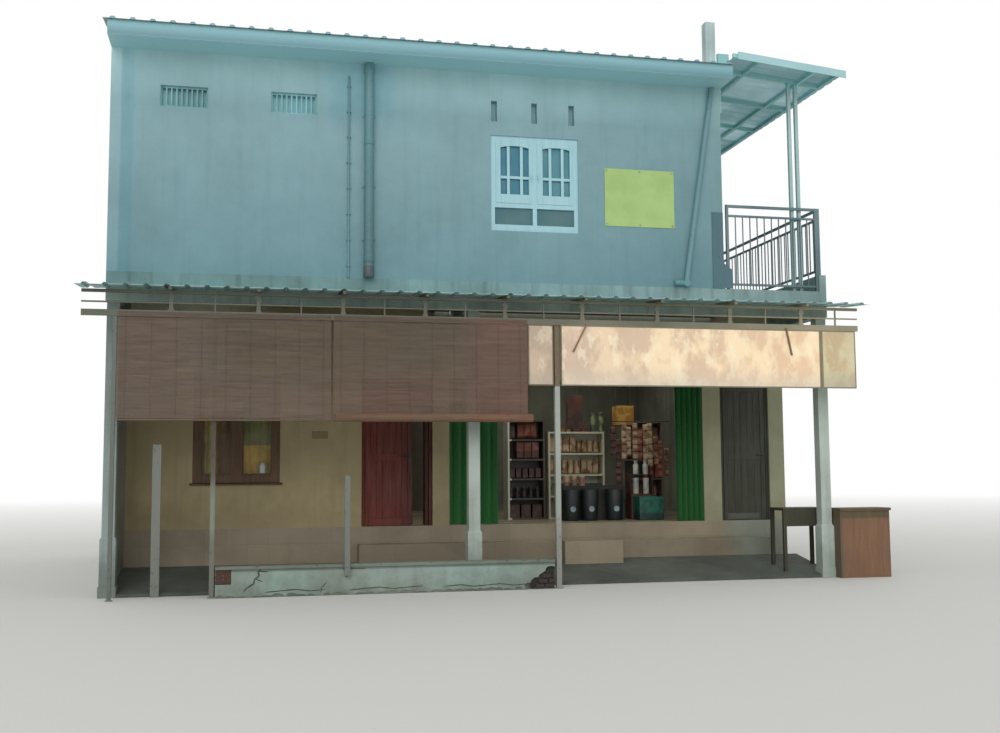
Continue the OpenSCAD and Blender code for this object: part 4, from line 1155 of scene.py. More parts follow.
# %% Curtains
CURTAIN_Y = 1.745
CURTAIN_LOW, CURTAIN_HIGH = 1.5, 2.94
FOLDS = 5
CURTAIN_BROWN = build_cloth("curtain_brown", srgb(178, 130, 78), srgb(124, 88, 52))
tint_patch(CURTAIN_BROWN, (2.2, 3.6, 2.2), 0.05, X=(-3.93, -3.82, 0.01))
CURTAIN_GREEN = build_cloth("curtain_green", srgb(196, 194, 112), srgb(138, 148, 78))
tint_patch(CURTAIN_GREEN, (2.6, 1.7, 1.0), 0.03, Z=(1.0, 1.99, 0.012))
tint_patch(CURTAIN_GREEN, (0.9, 0.9, 0.9), 0.03, Z=(1.0, 1.74, 0.02))


def gathered_curtain(name, left, right, material):
    """A gathered cloth between two upright lines, from the window's sill to its head."""
    middle = ((left + right) / 2, CURTAIN_Y, (CURTAIN_LOW + CURTAIN_HIGH) / 2)
    columns = FOLDS * 8
    cloth = start_grid(name, (columns, 6), (right - left, CURTAIN_HIGH - CURTAIN_LOW), middle)
    for column in range(columns + 1):
        x = left + column * (right - left) / columns
        push = 0.018 * math.sin(column * math.pi / 4) + 0.006 * math.sin(column * 0.9)
        move_points(cloth, lambda place: abs(place.x - x) < 0.0004, (0.0, push, 0.0))
    smooth(cloth, 80)
    settle(cloth, material)


gathered_curtain("curtain_left", -4.04, -3.50, CURTAIN_BROWN)
gathered_curtain("curtain_right", -3.44, -2.92, CURTAIN_GREEN)

# %% [markdown]
# The brown window's casements carry a raised moulding round each pane, and a sill below. A
# white jar stands on the frame inside, in front of the right curtain.

# %% Ground window joinery
GROUND_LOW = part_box("ground_window_frames")[0]
GROUND_FACE = 1.57
PANE_LOW, PANE_HIGH = 1.573, 2.867
beads = []
for pane_left, pane_right in ((-3.957, -3.568), (-3.372, -2.983)):
    beads += strip_frame(
        pane_left - STRIP, pane_right + STRIP, PANE_LOW - STRIP, PANE_HIGH + STRIP, GROUND_FACE, 0.01)
window_sill = start_block(
    "sill", (GROUND_LOW.x - 0.04, 1.50, GROUND_LOW.z - 0.03),
    (GROUND_LOW.x + 1.28, GROUND_FACE, GROUND_LOW.z + 0.005))
move_points(window_sill, lambda place: place.y < 1.52 and place.z > GROUND_LOW.z, (0.0, 0.0, -0.015))
assemble("ground_window_mouldings", [*beads, window_sill], 0.003, BROWN_WOOD)

white_jar = start_rod("jar_on_sill", 0.062, (-3.10, 1.655, 1.578), (-3.10, 1.655, 1.70), 24)
pick_top(white_jar)
bpy.ops.mesh.inset(thickness=0.008)
pull(0.028)
done_editing()
settle(smooth(soften(white_jar, 0.004), 40), SHELF_PAINT)

# %% [markdown]
# The banner is a plain cloth nailed flat against the wall. It is a fine grid, and a cloud texture
# pushes it in and out by a few millimetres. Six eyelets with nails hold its upper and lower edges.

# %% Banner
BANNER_LOW, BANNER_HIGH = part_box("banner")
EYELET_INSET = 0.03
banner_size = (BANNER_HIGH.x - BANNER_LOW.x, BANNER_HIGH.z - BANNER_LOW.z)
banner_middle = (BANNER_LOW + BANNER_HIGH) / 2
banner = start_grid("banner_cloth", (40, 32), banner_size, (banner_middle.x, -0.008, banner_middle.z))
wrinkle = bpy.data.textures.new("banner_wrinkle", "CLOUDS")
wrinkle.noise_scale = 0.22
apply_modifier(
    banner, "DISPLACE", texture=wrinkle, texture_coords="GLOBAL", direction="Y", strength=0.011,
    mid_level=0.4)
smooth(banner, 80)
settle(banner, BANNER_CLOTH)
eyelets = []
for x in (BANNER_LOW.x + EYELET_INSET, banner_middle.x, BANNER_HIGH.x - EYELET_INSET):
    for z in (BANNER_LOW.z + EYELET_INSET, BANNER_HIGH.z - EYELET_INSET):
        clear_selection()
        bpy.ops.mesh.primitive_torus_add(
            major_radius=0.009, minor_radius=0.0028, major_segments=16, minor_segments=8,
            location=(x, -0.014, z), rotation=(math.radians(90), 0.0, 0.0))
        bake_place()
        eyelets.append(bpy.context.object)
        eyelets.append(start_rod("nail", 0.0035, (x, -0.02, z), (x, 0.0, z), 8))
eyelet_ring = join("banner_eyelets", eyelets)
settle(eyelet_ring, POST_PAINT)
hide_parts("banner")

# %% [markdown]
# The red door's wide leaf and the side door are tongued boards in a frame. Upright grooves show
# between the boards, so each board is a strip a little proud of the leaf, with rounded edges.
# The boards ride on the leaf's own body and swing with it, and so does its lever handle.

# %% Boards and handles of the two shut doors
STILE = 0.075
RAIL = 0.11
LOCK_RAIL = (0.95, 1.07)
STILE_PROUD, RAIL_PROUD, BOARD_PROUD = 0.014, 0.012, 0.007
HANDLE_INSET, HANDLE_HEIGHT = 0.04, 1.0


def boarded_leaf(name, leaf, boards, material, body):
    """Upright boards between a top, middle and bottom rail, all on the leaf's street face."""
    low, high = leaf
    strips = []
    inner_left = low.x + STILE
    inner_right = high.x - STILE
    width = (inner_right - inner_left) / boards
    for i in range(boards):
        left = inner_left + i * width + 0.002
        strips.append(start_block("board", (left, low.y - BOARD_PROUD, low.z + RAIL),
                                  (left + width - 0.004, low.y, high.z - RAIL)))
    for bottom, top in (
            (low.z, low.z + RAIL), (high.z - RAIL, high.z), (low.z + LOCK_RAIL[0], low.z + LOCK_RAIL[1])):
        strips.append(start_block(
            "rail", (inner_left, low.y - RAIL_PROUD, bottom), (inner_right, low.y, top)))
    for left, right in ((low.x, inner_left), (inner_right, high.x)):
        strips.append(start_block("stile", (left, low.y - STILE_PROUD, low.z), (right, low.y, high.z)))
    assemble(name, strips, 0.003, material, body)


def lever_handle(name, leaf, body):
    """A plate, a neck and a lever on the leaf's lock stile, pointing to its hinge side."""
    x = leaf[1].x - HANDLE_INSET
    z = leaf[0].z + HANDLE_HEIGHT
    face = leaf[0].y - STILE_PROUD
    assemble(name, [
        start_block("plate", (x - 0.018, face - 0.004, z - 0.1), (x + 0.018, face, z + 0.1)),
        start_rod("neck", 0.009, (x, face - 0.04, z + 0.03), (x, face, z + 0.03), 16),
        start_rod("lever", 0.008, (x, face - 0.04, z + 0.03), (x - 0.11, face - 0.04, z + 0.03), 16),
        start_rod("keyhole", 0.006, (x, face - 0.006, z - 0.04), (x, face, z - 0.04), 12)],
        0.002, DARK_STEEL, body)


wide_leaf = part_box("red_door_wide_leaf")
side_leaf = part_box("side_door_leaf")
boarded_leaf("wide_leaf_boards", wide_leaf, 6, RED_WOOD, "red_wide_leaf")
boarded_leaf("side_leaf_boards", side_leaf, 5, SIDE_WOOD, "side_leaf")
lever_handle("wide_leaf_handle", wide_leaf, "red_wide_leaf")
lever_handle("side_leaf_handle", side_leaf, "side_leaf")

# %% [markdown]
# The low wall by the street is brick under painted plaster, and it has had a hard life. A cube
# is cut into small cells, so that a cloud texture can make its plaster uneven. Where plaster has
# fallen, a Boolean takes out rough lumps. The cutter carries a second material, so that the
# fresh break shows bare mortar.

# %% Bare mortar and brick
MORTAR = finish("bare_mortar", PLASTER, {
    "Paint": srgb(124, 130, 118), "Stain": srgb(70, 76, 68), "Blotch": 0.6, "Streak": 0.1}, 0.8, 0.012)
# Painted shade: the bare mortar in the deep break at the wall's right end is darkened.
tint_patch(MORTAR, (0.22, 0.22, 0.20), 0.1, X=(0.42, 1.0, 0.03), Y=(-0.5, -0.2, 0.01), Z=(0.0, 0.36, 0.02))
BRICK = finish("red_brick", PLASTER, {
    "Paint": srgb(92, 58, 52), "Stain": srgb(66, 46, 42), "Blotch": 0.6, "Streak": 0.1}, 0.7, 0.01)
tint_patch(BRICK, (0.52, 0.90, 0.95), X=(0.0, 1.0, 0.1))
rng = random.Random(7)


def split_edges(piece, axis, cuts):
    """Cuts every edge that runs along one axis into equal lengths."""
    take(piece)
    bpy.ops.object.mode_set(mode="EDIT")
    bpy.ops.mesh.select_mode(type="EDGE")
    bpy.ops.mesh.select_all(action="DESELECT")
    bpy.ops.object.mode_set(mode="OBJECT")
    points = piece.data.vertices
    for edge in piece.data.edges:
        run = points[edge.vertices[1]].co - points[edge.vertices[0]].co
        edge.select = abs(run[axis]) > 0.9 * run.length
    bpy.ops.object.mode_set(mode="EDIT")
    bpy.ops.mesh.subdivide(number_cuts=cuts)
    done_editing()


def rough_lump(place, size, seed):
    """An uneven lump, used to break a piece of plaster away."""
    clear_selection()
    bpy.ops.mesh.primitive_ico_sphere_add(subdivisions=2, radius=1.0)
    lump = bpy.context.object
    lump.scale = size
    lump.location = place
    bake_place()
    bpy.ops.object.mode_set(mode="EDIT")
    bpy.ops.mesh.select_all(action="SELECT")
    bpy.ops.transform.vertex_random(offset=min(size) * 0.45, seed=seed)
    done_editing()
    return lump


def break_away(piece, lumps, whole, broken):
    """Takes the lumps out of the piece; the broken faces get the second material."""
    cutter = join("breaks", lumps)
    for each in (piece, cutter):
        each.data.materials.clear()
        each.data.materials.append(whole)
        each.data.materials.append(broken)
    for face in cutter.data.polygons:
        face.material_index = 1
    cut_with(piece, cutter, use_self=True)


# %% Wall, cracks and bricks
WALL_LEFT, WALL_RIGHT = -3.70, 0.765
WALL_FACE, WALL_BACK = -0.456, -0.302
WALL_TOP = 0.358
CAP_FACE = -0.478
CAP_LOW, CAP_HIGH = 0.36, 0.398
BRICK_LENGTH = 0.2
wall_body = start_block(
    "low_wall_plaster", (WALL_LEFT, WALL_FACE, 0.0), (WALL_RIGHT, WALL_BACK, WALL_TOP))
split_edges(wall_body, 0, 70)
split_edges(wall_body, 2, 5)
uneven = bpy.data.textures.new("plaster_unevenness", "CLOUDS")
uneven.noise_scale = 0.16
apply_modifier(
    wall_body, "DISPLACE", texture=uneven, texture_coords="GLOBAL", direction="Y", strength=0.014,
    mid_level=0.6)


def crack(points, width, seed):
    """A crack through a row of points: long thin lumps that overlap, each turned along its run."""
    made = []
    for (x0, z0), (x1, z1) in zip(points, points[1:]):
        run = math.hypot(x1 - x0, z1 - z0)
        lump = rough_lump((0.0, 0.0, 0.0), (run * 0.72, 0.02, width), seed + len(made))
        lump.rotation_euler = (0.0, -math.atan2(z1 - z0, x1 - x0), 0.0)
        lump.location = ((x0 + x1) / 2, WALL_FACE, (z0 + z1) / 2)
        bake_place()
        made.append(lump)
        width *= 0.92
    return made


# The crack left of the middle runs from the cap down to the foot; a short one is under the pole.
# A ragged joint runs along the plinth, over the foot where splashing rain has worn the paint off.
joint = [(-3.05 + step * 0.18, 0.075 + 0.012 * ((step * 7) % 3 - 1)) for step in range(20)]
lumps = []
for points, width, first_seed in (
        ([(-3.13, 0.36), (-3.165, 0.31), (-3.15, 0.27), (-3.21, 0.22), (-3.22, 0.17), (-3.30, 0.125),
          (-3.34, 0.08)], 0.014, 31),
        ([(-3.165, 0.33), (-3.06, 0.322)], 0.008, 41), ([(-3.20, 0.235), (-3.12, 0.20)], 0.006, 43),
        ([(-2.07, 0.36), (-2.055, 0.30), (-2.04, 0.24)], 0.014, 45),
        ([(-2.06, 0.335), (-1.88, 0.33), (-1.80, 0.335)], 0.006, 47),
        ([(-2.30, 0.16), (-2.36, 0.10), (-2.37, 0.05)], 0.006, 49),
        (joint[:5], 0.008, 61), (joint[6:12], 0.010, 71), (joint[13:], 0.008, 81)):
    lumps += crack(points, width, first_seed)
seed = 1
for step in range(30):
    x = -3.62 + step * 0.145 + rng.uniform(-0.05, 0.05)
    size = (rng.uniform(0.05, 0.12), 0.012, rng.uniform(0.02, 0.05))
    lumps.append(rough_lump((x, WALL_FACE, 0.0), size, seed))
    seed += 1
# The right end has lost a large piece, down to its bricks.
for x, z, width, height in (
        (0.68, 0.10, 0.17, 0.15), (0.54, 0.07, 0.13, 0.10), (0.72, 0.24, 0.1, 0.07),
        (0.42, 0.03, 0.08, 0.06)):
    lumps.append(rough_lump((x, WALL_FACE, z), (width, 0.05, height), seed))
    seed += 1
# A square patch at the left end, where bricks show.
lumps.append(start_block("patch", (-3.72, WALL_FACE - 0.05, 0.17), (-3.50, WALL_FACE + 0.022, 0.37)))
break_away(wall_body, lumps, LOW_WALL_PAINT, MORTAR)

cap = start_block("low_wall_cap", (WALL_LEFT, CAP_FACE, CAP_LOW), (WALL_RIGHT, WALL_BACK, CAP_HIGH))
split_edges(cap, 0, 60)
apply_modifier(
    cap, "DISPLACE", texture=uneven, texture_coords="GLOBAL", direction="Z", strength=0.008,
    mid_level=0.8)
lumps = []
for x, width in ((-3.66, 0.03), (-3.17, 0.03), (-2.42, 0.02), (-2.07, 0.04), (-1.60, 0.02), (-0.95, 0.03),
                 (-0.30, 0.06), (0.10, 0.02), (0.33, 0.06), (0.52, 0.03), (0.70, 0.07)):
    lumps.append(rough_lump((x, CAP_FACE, 0.40), (width, 0.03, 0.02), seed))
    seed += 1
break_away(cap, lumps, LOW_WALL_PAINT, MORTAR)

# Bricks show in the patch at the left end, and in the broken right end.
bricks = []
for course in range(3):
    z = 0.178 + course * 0.062
    shift = 0.0 if course % 2 else 0.11
    for i in range(2):
        start = -3.81 + shift + i * 0.212
        left = max(-3.695, start)
        right = min(-3.505, start + BRICK_LENGTH)
        if right - left > 0.03:
            bricks.append(start_block(
                "brick", (left, WALL_FACE + 0.004, z), (right, WALL_FACE + 0.06, z + 0.05)))
for course in range(3):
    z = 0.012 + course * 0.066
    left = 0.50 + 0.05 * course
    for low_x, high_x in ((left, left + 0.12), (left + 0.132, 0.76)):
        bricks.append(start_block(
            "brick", (low_x, WALL_FACE + 0.02, z), (high_x, WALL_FACE + 0.1, z + 0.054)))
assemble("low_wall_bricks", bricks, 0.006, BRICK)
for piece in (wall_body, cap):
    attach(piece, "house")
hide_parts("low_wall")
print("low wall:", len(wall_body.data.polygons), "faces,", len(bricks), "bricks")

# %% [markdown]
# The truss is welded from flat bars. A small gusset plate with two bolt heads ties each strut to
# both chords. One set is modelled at the first strut, and an Array repeats it along the truss.

# %% Truss gussets
TRUSS_LOW, TRUSS_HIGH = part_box("awning_truss")
FIRST_STRUT = -4.30
STRUT_STEP = 1.1
face = TRUSS_LOW.y
gusset_parts = []
for z in (TRUSS_LOW.z + 0.086, TRUSS_HIGH.z - 0.075):
    plate = start_block(
        "gusset", (FIRST_STRUT - 0.045, face - 0.004, z - 0.03), (FIRST_STRUT + 0.045, face, z + 0.03))
    scale_points(plate, lambda place: place.z > z, (0.6, 1.0, 1.0), (FIRST_STRUT, face, z))
    gusset_parts.append(plate)
    for x in (FIRST_STRUT - 0.024, FIRST_STRUT + 0.024):
        gusset_parts.append(start_rod("bolt", 0.007, (x, face - 0.009, z - 0.008), (x, face, z - 0.008), 6))
gussets = repeat(join("truss_gussets", gusset_parts), 9, (STRUT_STEP, 0.0, 0.0))
settle(gussets, STEEL_PAINT)

# %% [markdown]
# Each awning post is welded to a small base plate that is bolted down, and to a head plate under
# the truss. Both are the same plate.

# %% Post plates
POST_Y = -0.43
PLATE = 0.008
plates = []
for x, half in ((-4.985, 0.025), (-3.745, 0.03), (0.83, 0.035)):
    for low, high in ((0.0, PLATE), (TRUSS_LOW.z - PLATE, TRUSS_LOW.z)):
        plates.append(start_block(
            "plate", (x - half - 0.02, POST_Y - half, low), (x + half + 0.02, POST_Y + half, high)))
    for bolt_x in (x - half - 0.011, x + half + 0.011):
        plates.append(start_rod("bolt", 0.006, (bolt_x, POST_Y, PLATE), (bolt_x, POST_Y, 0.018), 6))
post_plates = soften(join("post_plates", plates), 0.0015, 1)
settle(post_plates, STEEL_PAINT)

# %% [markdown]
# Rain pipes come in lengths that push into sockets, and clips hold them to the wall. A socket is
# a ring a little wider than the pipe; its rounded lips come from a bevel.

# %% Pipe sockets and clips
PIPE_X, PIPE_Y, PIPE_R = -1.725, -0.065, 0.065


def pipe_ring(name, proud, low, high):
    """A ring round the wide rain pipe, a little wider than it, between two heights."""
    return start_rod(name, PIPE_R + proud, (PIPE_X, PIPE_Y, low), (PIPE_X, PIPE_Y, high), 32)


fittings = [pipe_ring("socket", 0.006, z, z + 0.11) for z in (4.45, 6.1, 7.1)]
for z in (4.75, 5.5, 6.5):
    fittings.append(pipe_ring("clip", 0.003, z, z + 0.025))
    fittings.append(start_block(
        "clip_foot", (PIPE_X - 0.095, -0.008, z), (PIPE_X + 0.095, -0.001, z + 0.025)))
smooth(assemble("pipe_sockets", fittings, 0.002, PIPE_PLASTIC))
saddles = []
for i in range(8):
    z = 4.4 + i * 0.36
    saddles.append(start_block("saddle", (-2.03, -0.032, z), (-1.97, -0.001, z + 0.014)))
assemble("conduit_saddles", saddles, 0.002, PIPE_PLASTIC)
smooth(assemble("pipe_foot", [pipe_ring("foot", 0.008, 4.242, 4.40)], 0.006, DARK_PIPE))

# %% [markdown]
# Shop goods are many, and from the street they read as colour and shape. Five kinds are made by
# hand, each from one primitive: a carton, a bottle, a jar, a pouch and a tub. A row on a shelf
# is one of them repeated by an Array, and every colour has its own procedural print.

# %% Goods finishes
def build_print(name, base, accent):
    """A packet's print: blocks of two colours, with a little grime."""
    material, tree, shader = start_material(name, Roughness=0.5)
    place = own_place(tree)
    block = place_range(tree, place_noise(tree, place, 9.0, 1.0, 0.4), 0.5, 0.56)
    shade = place_range(tree, place_noise(tree, place, 2.3, 2.0), 0.3, 0.7)
    color = place_mix(tree, block, base, accent)
    grime = place_math(tree, "MULTIPLY", shade, 0.25)
    color = place_mix(tree, grime, color, (0.02, 0.02, 0.02, 1.0))
    tree.links.new(color, shader.inputs["Base Color"])
    return material


PRINT_RED = build_print("goods_red", srgb(140, 70, 58), srgb(160, 104, 86))
# Painted shade on the red goods low in the left rack.
tint_patch(PRINT_RED, (0.32, 0.28, 0.32), X=(0.9, 1.6, 0.01), Z=(0.7, 1.93, 0.02))
PRINT_BEIGE = build_print("goods_beige", srgb(190, 164, 132), srgb(142, 106, 82))
PRINT_BROWN = build_print("goods_brown", srgb(112, 80, 60), srgb(150, 120, 92))
# Painted shade on the brown goods in the left rack.
tint_patch(PRINT_BROWN, (0.30, 0.24, 0.28), X=(0.9, 1.6, 0.01), Z=(0.7, 2.5, 0.02))
PRINT_WHITE = build_print("goods_white", srgb(214, 210, 194), srgb(178, 186, 184))
PRINT_YELLOW = build_print("goods_yellow", srgb(206, 158, 72), srgb(176, 122, 50))
PRINT_TEAL = build_print("goods_teal", srgb(24, 104, 86), srgb(17, 78, 66))
tint_patch(PRINT_TEAL, (0.3, 0.35, 0.4), X=(2.8, 3.4, 0.01), Z=(0.7, 0.90, 0.02))
PRINT_BLUE = build_print("goods_dark_blue", srgb(15, 30, 29), srgb(12, 25, 24))
PRINT_PALE = build_print("goods_pale_label", srgb(150, 168, 176), srgb(120, 140, 150))
PRINT_MAROON = build_print("goods_maroon", srgb(92, 54, 46), srgb(66, 40, 36))
PRINT_GREEN = build_print("goods_green", srgb(62, 84, 66), srgb(118, 126, 92))
# Painted shade on the green goods in the left rack.
tint_patch(PRINT_GREEN, (0.5, 0.25, 0.35), X=(0.9, 1.6, 0.01), Z=(0.7, 2.5, 0.02))


# %% Five kinds of goods
def item_block(name, place, size):
    """A block that stands on a place, with its width, depth and height."""
    x, y, z = place
    wide, deep, tall = size
    return start_block(name, (x - wide / 2, y - deep / 2, z), (x + wide / 2, y + deep / 2, z + tall))


def carton(place, size):
    """A box of board with slightly rounded edges."""
    return soften(item_block("carton", place, size), 0.003, 1)


def bottle(place, size):
    """A cylinder whose top is drawn in to shoulders, a neck and a cap."""
    x, y, z = place
    radius, height = size
    body = start_rod("bottle", radius, place, (x, y, z + height * 0.66), 14)
    pick_top(body)
    for grow, draw_in in ((0.10, 0.62), (0.10, 1.0), (0.015, 1.25), (0.12, 1.0)):
        pull(height * grow)
        bpy.ops.transform.resize(value=(draw_in, draw_in, 1.0), center_override=place)
    done_editing()
    return smooth(body, 40)


def jar(place, size):
    """A short cylinder with a wider screw lid."""
    x, y, z = place
    radius, height = size
    body = start_rod("jar", radius, place, (x, y, z + height * 0.78), 16)
    pick_top(body)
    bpy.ops.mesh.inset(thickness=radius * 0.12)
    pull(height * 0.03)
    bpy.ops.transform.resize(value=(1.16, 1.16, 1.0), center_override=place)
    pull(height * 0.19)
    done_editing()
    return smooth(body, 40)


def pouch(place, size):
    """A filled packet: a block cut into cells, swollen in the middle and pinched at both ends."""
    x, y, z = place
    tall = size[2]
    packet = item_block("pouch", place, size)
    split_edges(packet, 0, 3)
    split_edges(packet, 2, 4)
    for end in (z, z + tall):
        scale_points(packet, lambda corner: abs(corner.z - end) < 0.0005, (1.0, 0.1, 1.0), (x, y, end))
    scale_points(
        packet, lambda corner: abs(corner.z - z - tall / 2) < tall * 0.24, (0.94, 1.3, 1.0), place)
    return smooth(packet, 70)


def tub(place, size):
    """A round tub with a rolled rim, wider at its top."""
    x, y, z = place
    radius, height = size
    body = start_rod("tub", radius * 0.86, place, (x, y, z + height), 24)
    scale_points(body, lambda corner: corner.z > z + height / 2, (1.16, 1.16, 1.0), place)
    pick_top(body)
    bpy.ops.mesh.inset(thickness=0.012)
    pull(-0.02)
    done_editing()
    return smooth(soften(body, 0.006), 40)


# %% [markdown]
# The racks are read from the street: red packs at the top left, a white case with jars and beige
# cartons in the middle, strips of packets that hang at the right, white bottles under them, and
# a teal crate on the floor. Each row names its kind, its shelf and how many stand side by side.

# %% Fill the shelves
SHELF_Y = 3.2
FIRST_SHELF = 0.78
SHELF_BOARD = 0.03
LEFT_PITCH, MIDDLE_PITCH, RIGHT_PITCH = 0.332, 0.365, 0.328
MIDDLE_TOP = 2.241
SHOP_FLOOR = 0.781
CEILING = 4.089
goods_finishes = {
    "red": PRINT_RED, "beige": PRINT_BEIGE, "brown": PRINT_BROWN, "white": PRINT_WHITE,
    "green": PRINT_GREEN, "yellow": PRINT_YELLOW, "teal": PRINT_TEAL, "blue": PRINT_BLUE,
    "pale": PRINT_PALE, "maroon": PRINT_MAROON}
shelf_goods = {color: [] for color in goods_finishes}


def shelf(level, pitch):
    """The height of a shelf's upper side; the lowest shelf is level 0."""
    return FIRST_SHELF + level * pitch + SHELF_BOARD


def row(color, make, place, size, count=1, step=0.1):
    """Makes one item, repeats it along its shelf, and files it under its colour."""
    shelf_goods[color].append(repeat(make(place, size), count, (step, 0.0, 0.0)))


# Left rack, from its top shelf down.
row("red", pouch, (1.17, SHELF_Y, shelf(4, LEFT_PITCH)), (0.105, 0.05, 0.26), 3, 0.112)
row("brown", carton, (1.01, SHELF_Y, shelf(4, LEFT_PITCH)), (0.1, 0.16, 0.2))
row("red", carton, (1.15, SHELF_Y, shelf(3, LEFT_PITCH)), (0.12, 0.16, 0.26), 3, 0.13)
row("brown", carton, (1.01, SHELF_Y, shelf(2, LEFT_PITCH)), (0.09, 0.15, 0.16), 5, 0.112)
row("green", jar, (1.0, SHELF_Y, shelf(1, LEFT_PITCH)), (0.045, 0.17), 5, 0.115)
row("brown", carton, (1.05, SHELF_Y, shelf(0, LEFT_PITCH)), (0.16, 0.18, 0.22), 3, 0.19)
# Middle rack: its two upper shelves show over the counter, and goods stand on its top.
row("beige", carton, (1.72, SHELF_Y, shelf(3, MIDDLE_PITCH)), (0.1, 0.15, 0.24), 4, 0.115)
row("beige", jar, (2.18, SHELF_Y, shelf(3, MIDDLE_PITCH)), (0.046, 0.19), 4, 0.105)
row("beige", jar, (1.70, 3.18, shelf(2, MIDDLE_PITCH)), (0.05, 0.22), 5, 0.112)
row("beige", pouch, (2.27, 3.18, shelf(2, MIDDLE_PITCH)), (0.09, 0.05, 0.25), 3, 0.1)
row("green", carton, (1.72, SHELF_Y, shelf(1, MIDDLE_PITCH)), (0.11, 0.15, 0.2), 8, 0.118)
row("brown", jar, (1.80, SHELF_Y, MIDDLE_TOP), (0.04, 0.14), 3, 0.11)
row("maroon", carton, (2.14, SHELF_Y, MIDDLE_TOP), (0.13, 0.18, 0.12), 2, 0.15)
row("green", bottle, (2.45, SHELF_Y, MIDDLE_TOP), (0.05, 0.34), 2, 0.14)
# Right rack, behind the hanging strips.
row("brown", carton, (3.02, SHELF_Y, shelf(4, RIGHT_PITCH)), (0.11, 0.15, 0.2), 5, 0.128)
row("beige", pouch, (3.01, SHELF_Y, shelf(3, RIGHT_PITCH)), (0.1, 0.05, 0.24), 6, 0.108)
row("red", jar, (3.36, 3.12, shelf(2, RIGHT_PITCH)), (0.045, 0.2), 3, 0.1)
row("brown", jar, (3.02, SHELF_Y, shelf(1, RIGHT_PITCH)), (0.05, 0.2), 5, 0.13)
row("green", carton, (3.05, SHELF_Y, shelf(0, RIGHT_PITCH)), (0.15, 0.18, 0.2), 4, 0.165)
# On the counter, and in front of it.
row("white", jar, (2.965, 2.52, 1.201), (0.05, 0.26), 2, 0.178)
row("white", bottle, (2.97, 2.52, 1.521), (0.045, 0.23), 2, 0.168)
row("beige", jar, (1.82, 2.66, 1.341), (0.05, 0.16), 3, 0.13)
for x in (1.80, 2.11, 2.53):
    shelf_goods["blue"].append(tub((x, 2.33, SHOP_FLOOR), (0.148, 0.5)))
    label = start_rod("label", 0.045, (x - 0.01, 2.179, 0.97), (x - 0.01, 2.2, 0.97), 24)
    shelf_goods["pale"].append(label)
print("rows of goods:", sum(len(rows) for rows in shelf_goods.values()))

# %% [markdown]
# Packets hang in strips from a rail under the shop's ceiling. A strip is a pouch repeated
# downwards by an Array, and each strip has its own place, top and number of packets.

# %% Hanging strips and the large pieces
STAND_TOP, BOARD_LOW = 1.2, 1.506
STRIP_PITCH = 0.118
RAIL_Z = 2.385
stand_parts = [
    start_block("bottle_stand", (2.86, 2.44, SHOP_FLOOR), (3.24, 2.72, STAND_TOP)),
    start_block("board", (2.86, 2.44, BOARD_LOW), (3.24, 2.66, 1.52))]
for x in (2.86, 3.228):
    stand_parts.append(start_block("side", (x, 2.46, STAND_TOP), (x + 0.012, 2.66, BOARD_LOW)))
shelf_goods["maroon"].append(soften(join("bottle_stand", stand_parts), 0.003))
for x, y, top, count, color in (
        (2.70, 2.30, 2.36, 5, "beige"), (2.79, 2.34, 2.30, 4, "beige"), (2.89, 2.30, 2.36, 5, "beige"),
        (2.98, 2.34, 2.24, 4, "red"), (3.07, 2.30, 2.34, 5, "beige"), (3.16, 2.34, 2.36, 6, "beige"),
        (3.25, 2.30, 2.14, 4, "brown"), (3.33, 2.34, 2.06, 5, "red"), (3.43, 2.30, 1.95, 4, "brown"),
        (2.62, 2.36, 2.10, 6, "maroon"), (2.52, 2.32, 2.30, 4, "maroon")):
    strip = pouch((x, y, top - 0.115), (0.08, 0.022, 0.11))
    shelf_goods[color].append(repeat(strip, count, (0.0, 0.0, -STRIP_PITCH)))
# A large bag hangs by itself over the middle rack, and a board on four wires holds a yellow box.
shelf_goods["maroon"].append(pouch((1.90, 2.42, 2.26), (0.27, 0.07, 0.56)))
rail_parts = [start_rod("strip_rail", 0.008, (2.5, 2.32, RAIL_Z), (3.5, 2.32, RAIL_Z), 10)]
for x, y, z, radius in (
        (2.55, 2.32, RAIL_Z, 0.003), (3.45, 2.32, RAIL_Z, 0.003), (1.90, 2.42, 2.80, 0.003),
        (2.67, 2.615, 2.325, 0.0025), (2.67, 2.905, 2.325, 0.0025), (3.02, 2.615, 2.325, 0.0025),
        (3.02, 2.905, 2.325, 0.0025)):
    rail_parts.append(start_rod("hanger", radius, (x, y, z), (x, y, CEILING), 6))
settle(join("strip_rail", rail_parts), DARK_STEEL)

crate = start_block("crate", (2.89, 2.12, SHOP_FLOOR), (3.30, 2.43, 1.16))
pick_top(crate)
bpy.ops.mesh.inset(thickness=0.018)
pull(-0.2)
done_editing()
shelf_goods["teal"].append(soften(crate, 0.006))
for color, low, high, rounding in (
        ("teal", (2.88, 2.11, 1.10), (3.31, 2.119, 1.14), 0.003),
        ("yellow", (2.70, 2.62, 2.338), (2.99, 2.90, 2.66), 0.006),
        ("maroon", (2.66, 2.605, 2.322), (3.03, 2.915, 2.337), 0.003)):
    shelf_goods[color].append(soften(start_block("block", low, high), rounding))

for color, print_finish in goods_finishes.items():
    goods = join(f"shop_goods_{color}", shelf_goods[color])
    settle(goods, print_finish)
    print(goods.name, len(goods.data.polygons), "faces")

# %% [markdown]
# Small fittings come last. Fly screens close the air grilles and the air slots; their pale paint
# stands in for the light seen through the openings, so they are partly painted light. A bare
# number plate hangs on the cream wall, each column's shaft meets its base in a sloped shoulder,
# and the side door's foot has a kick plate. A sheet of steel closes the corner where the rail
# meets the wall.

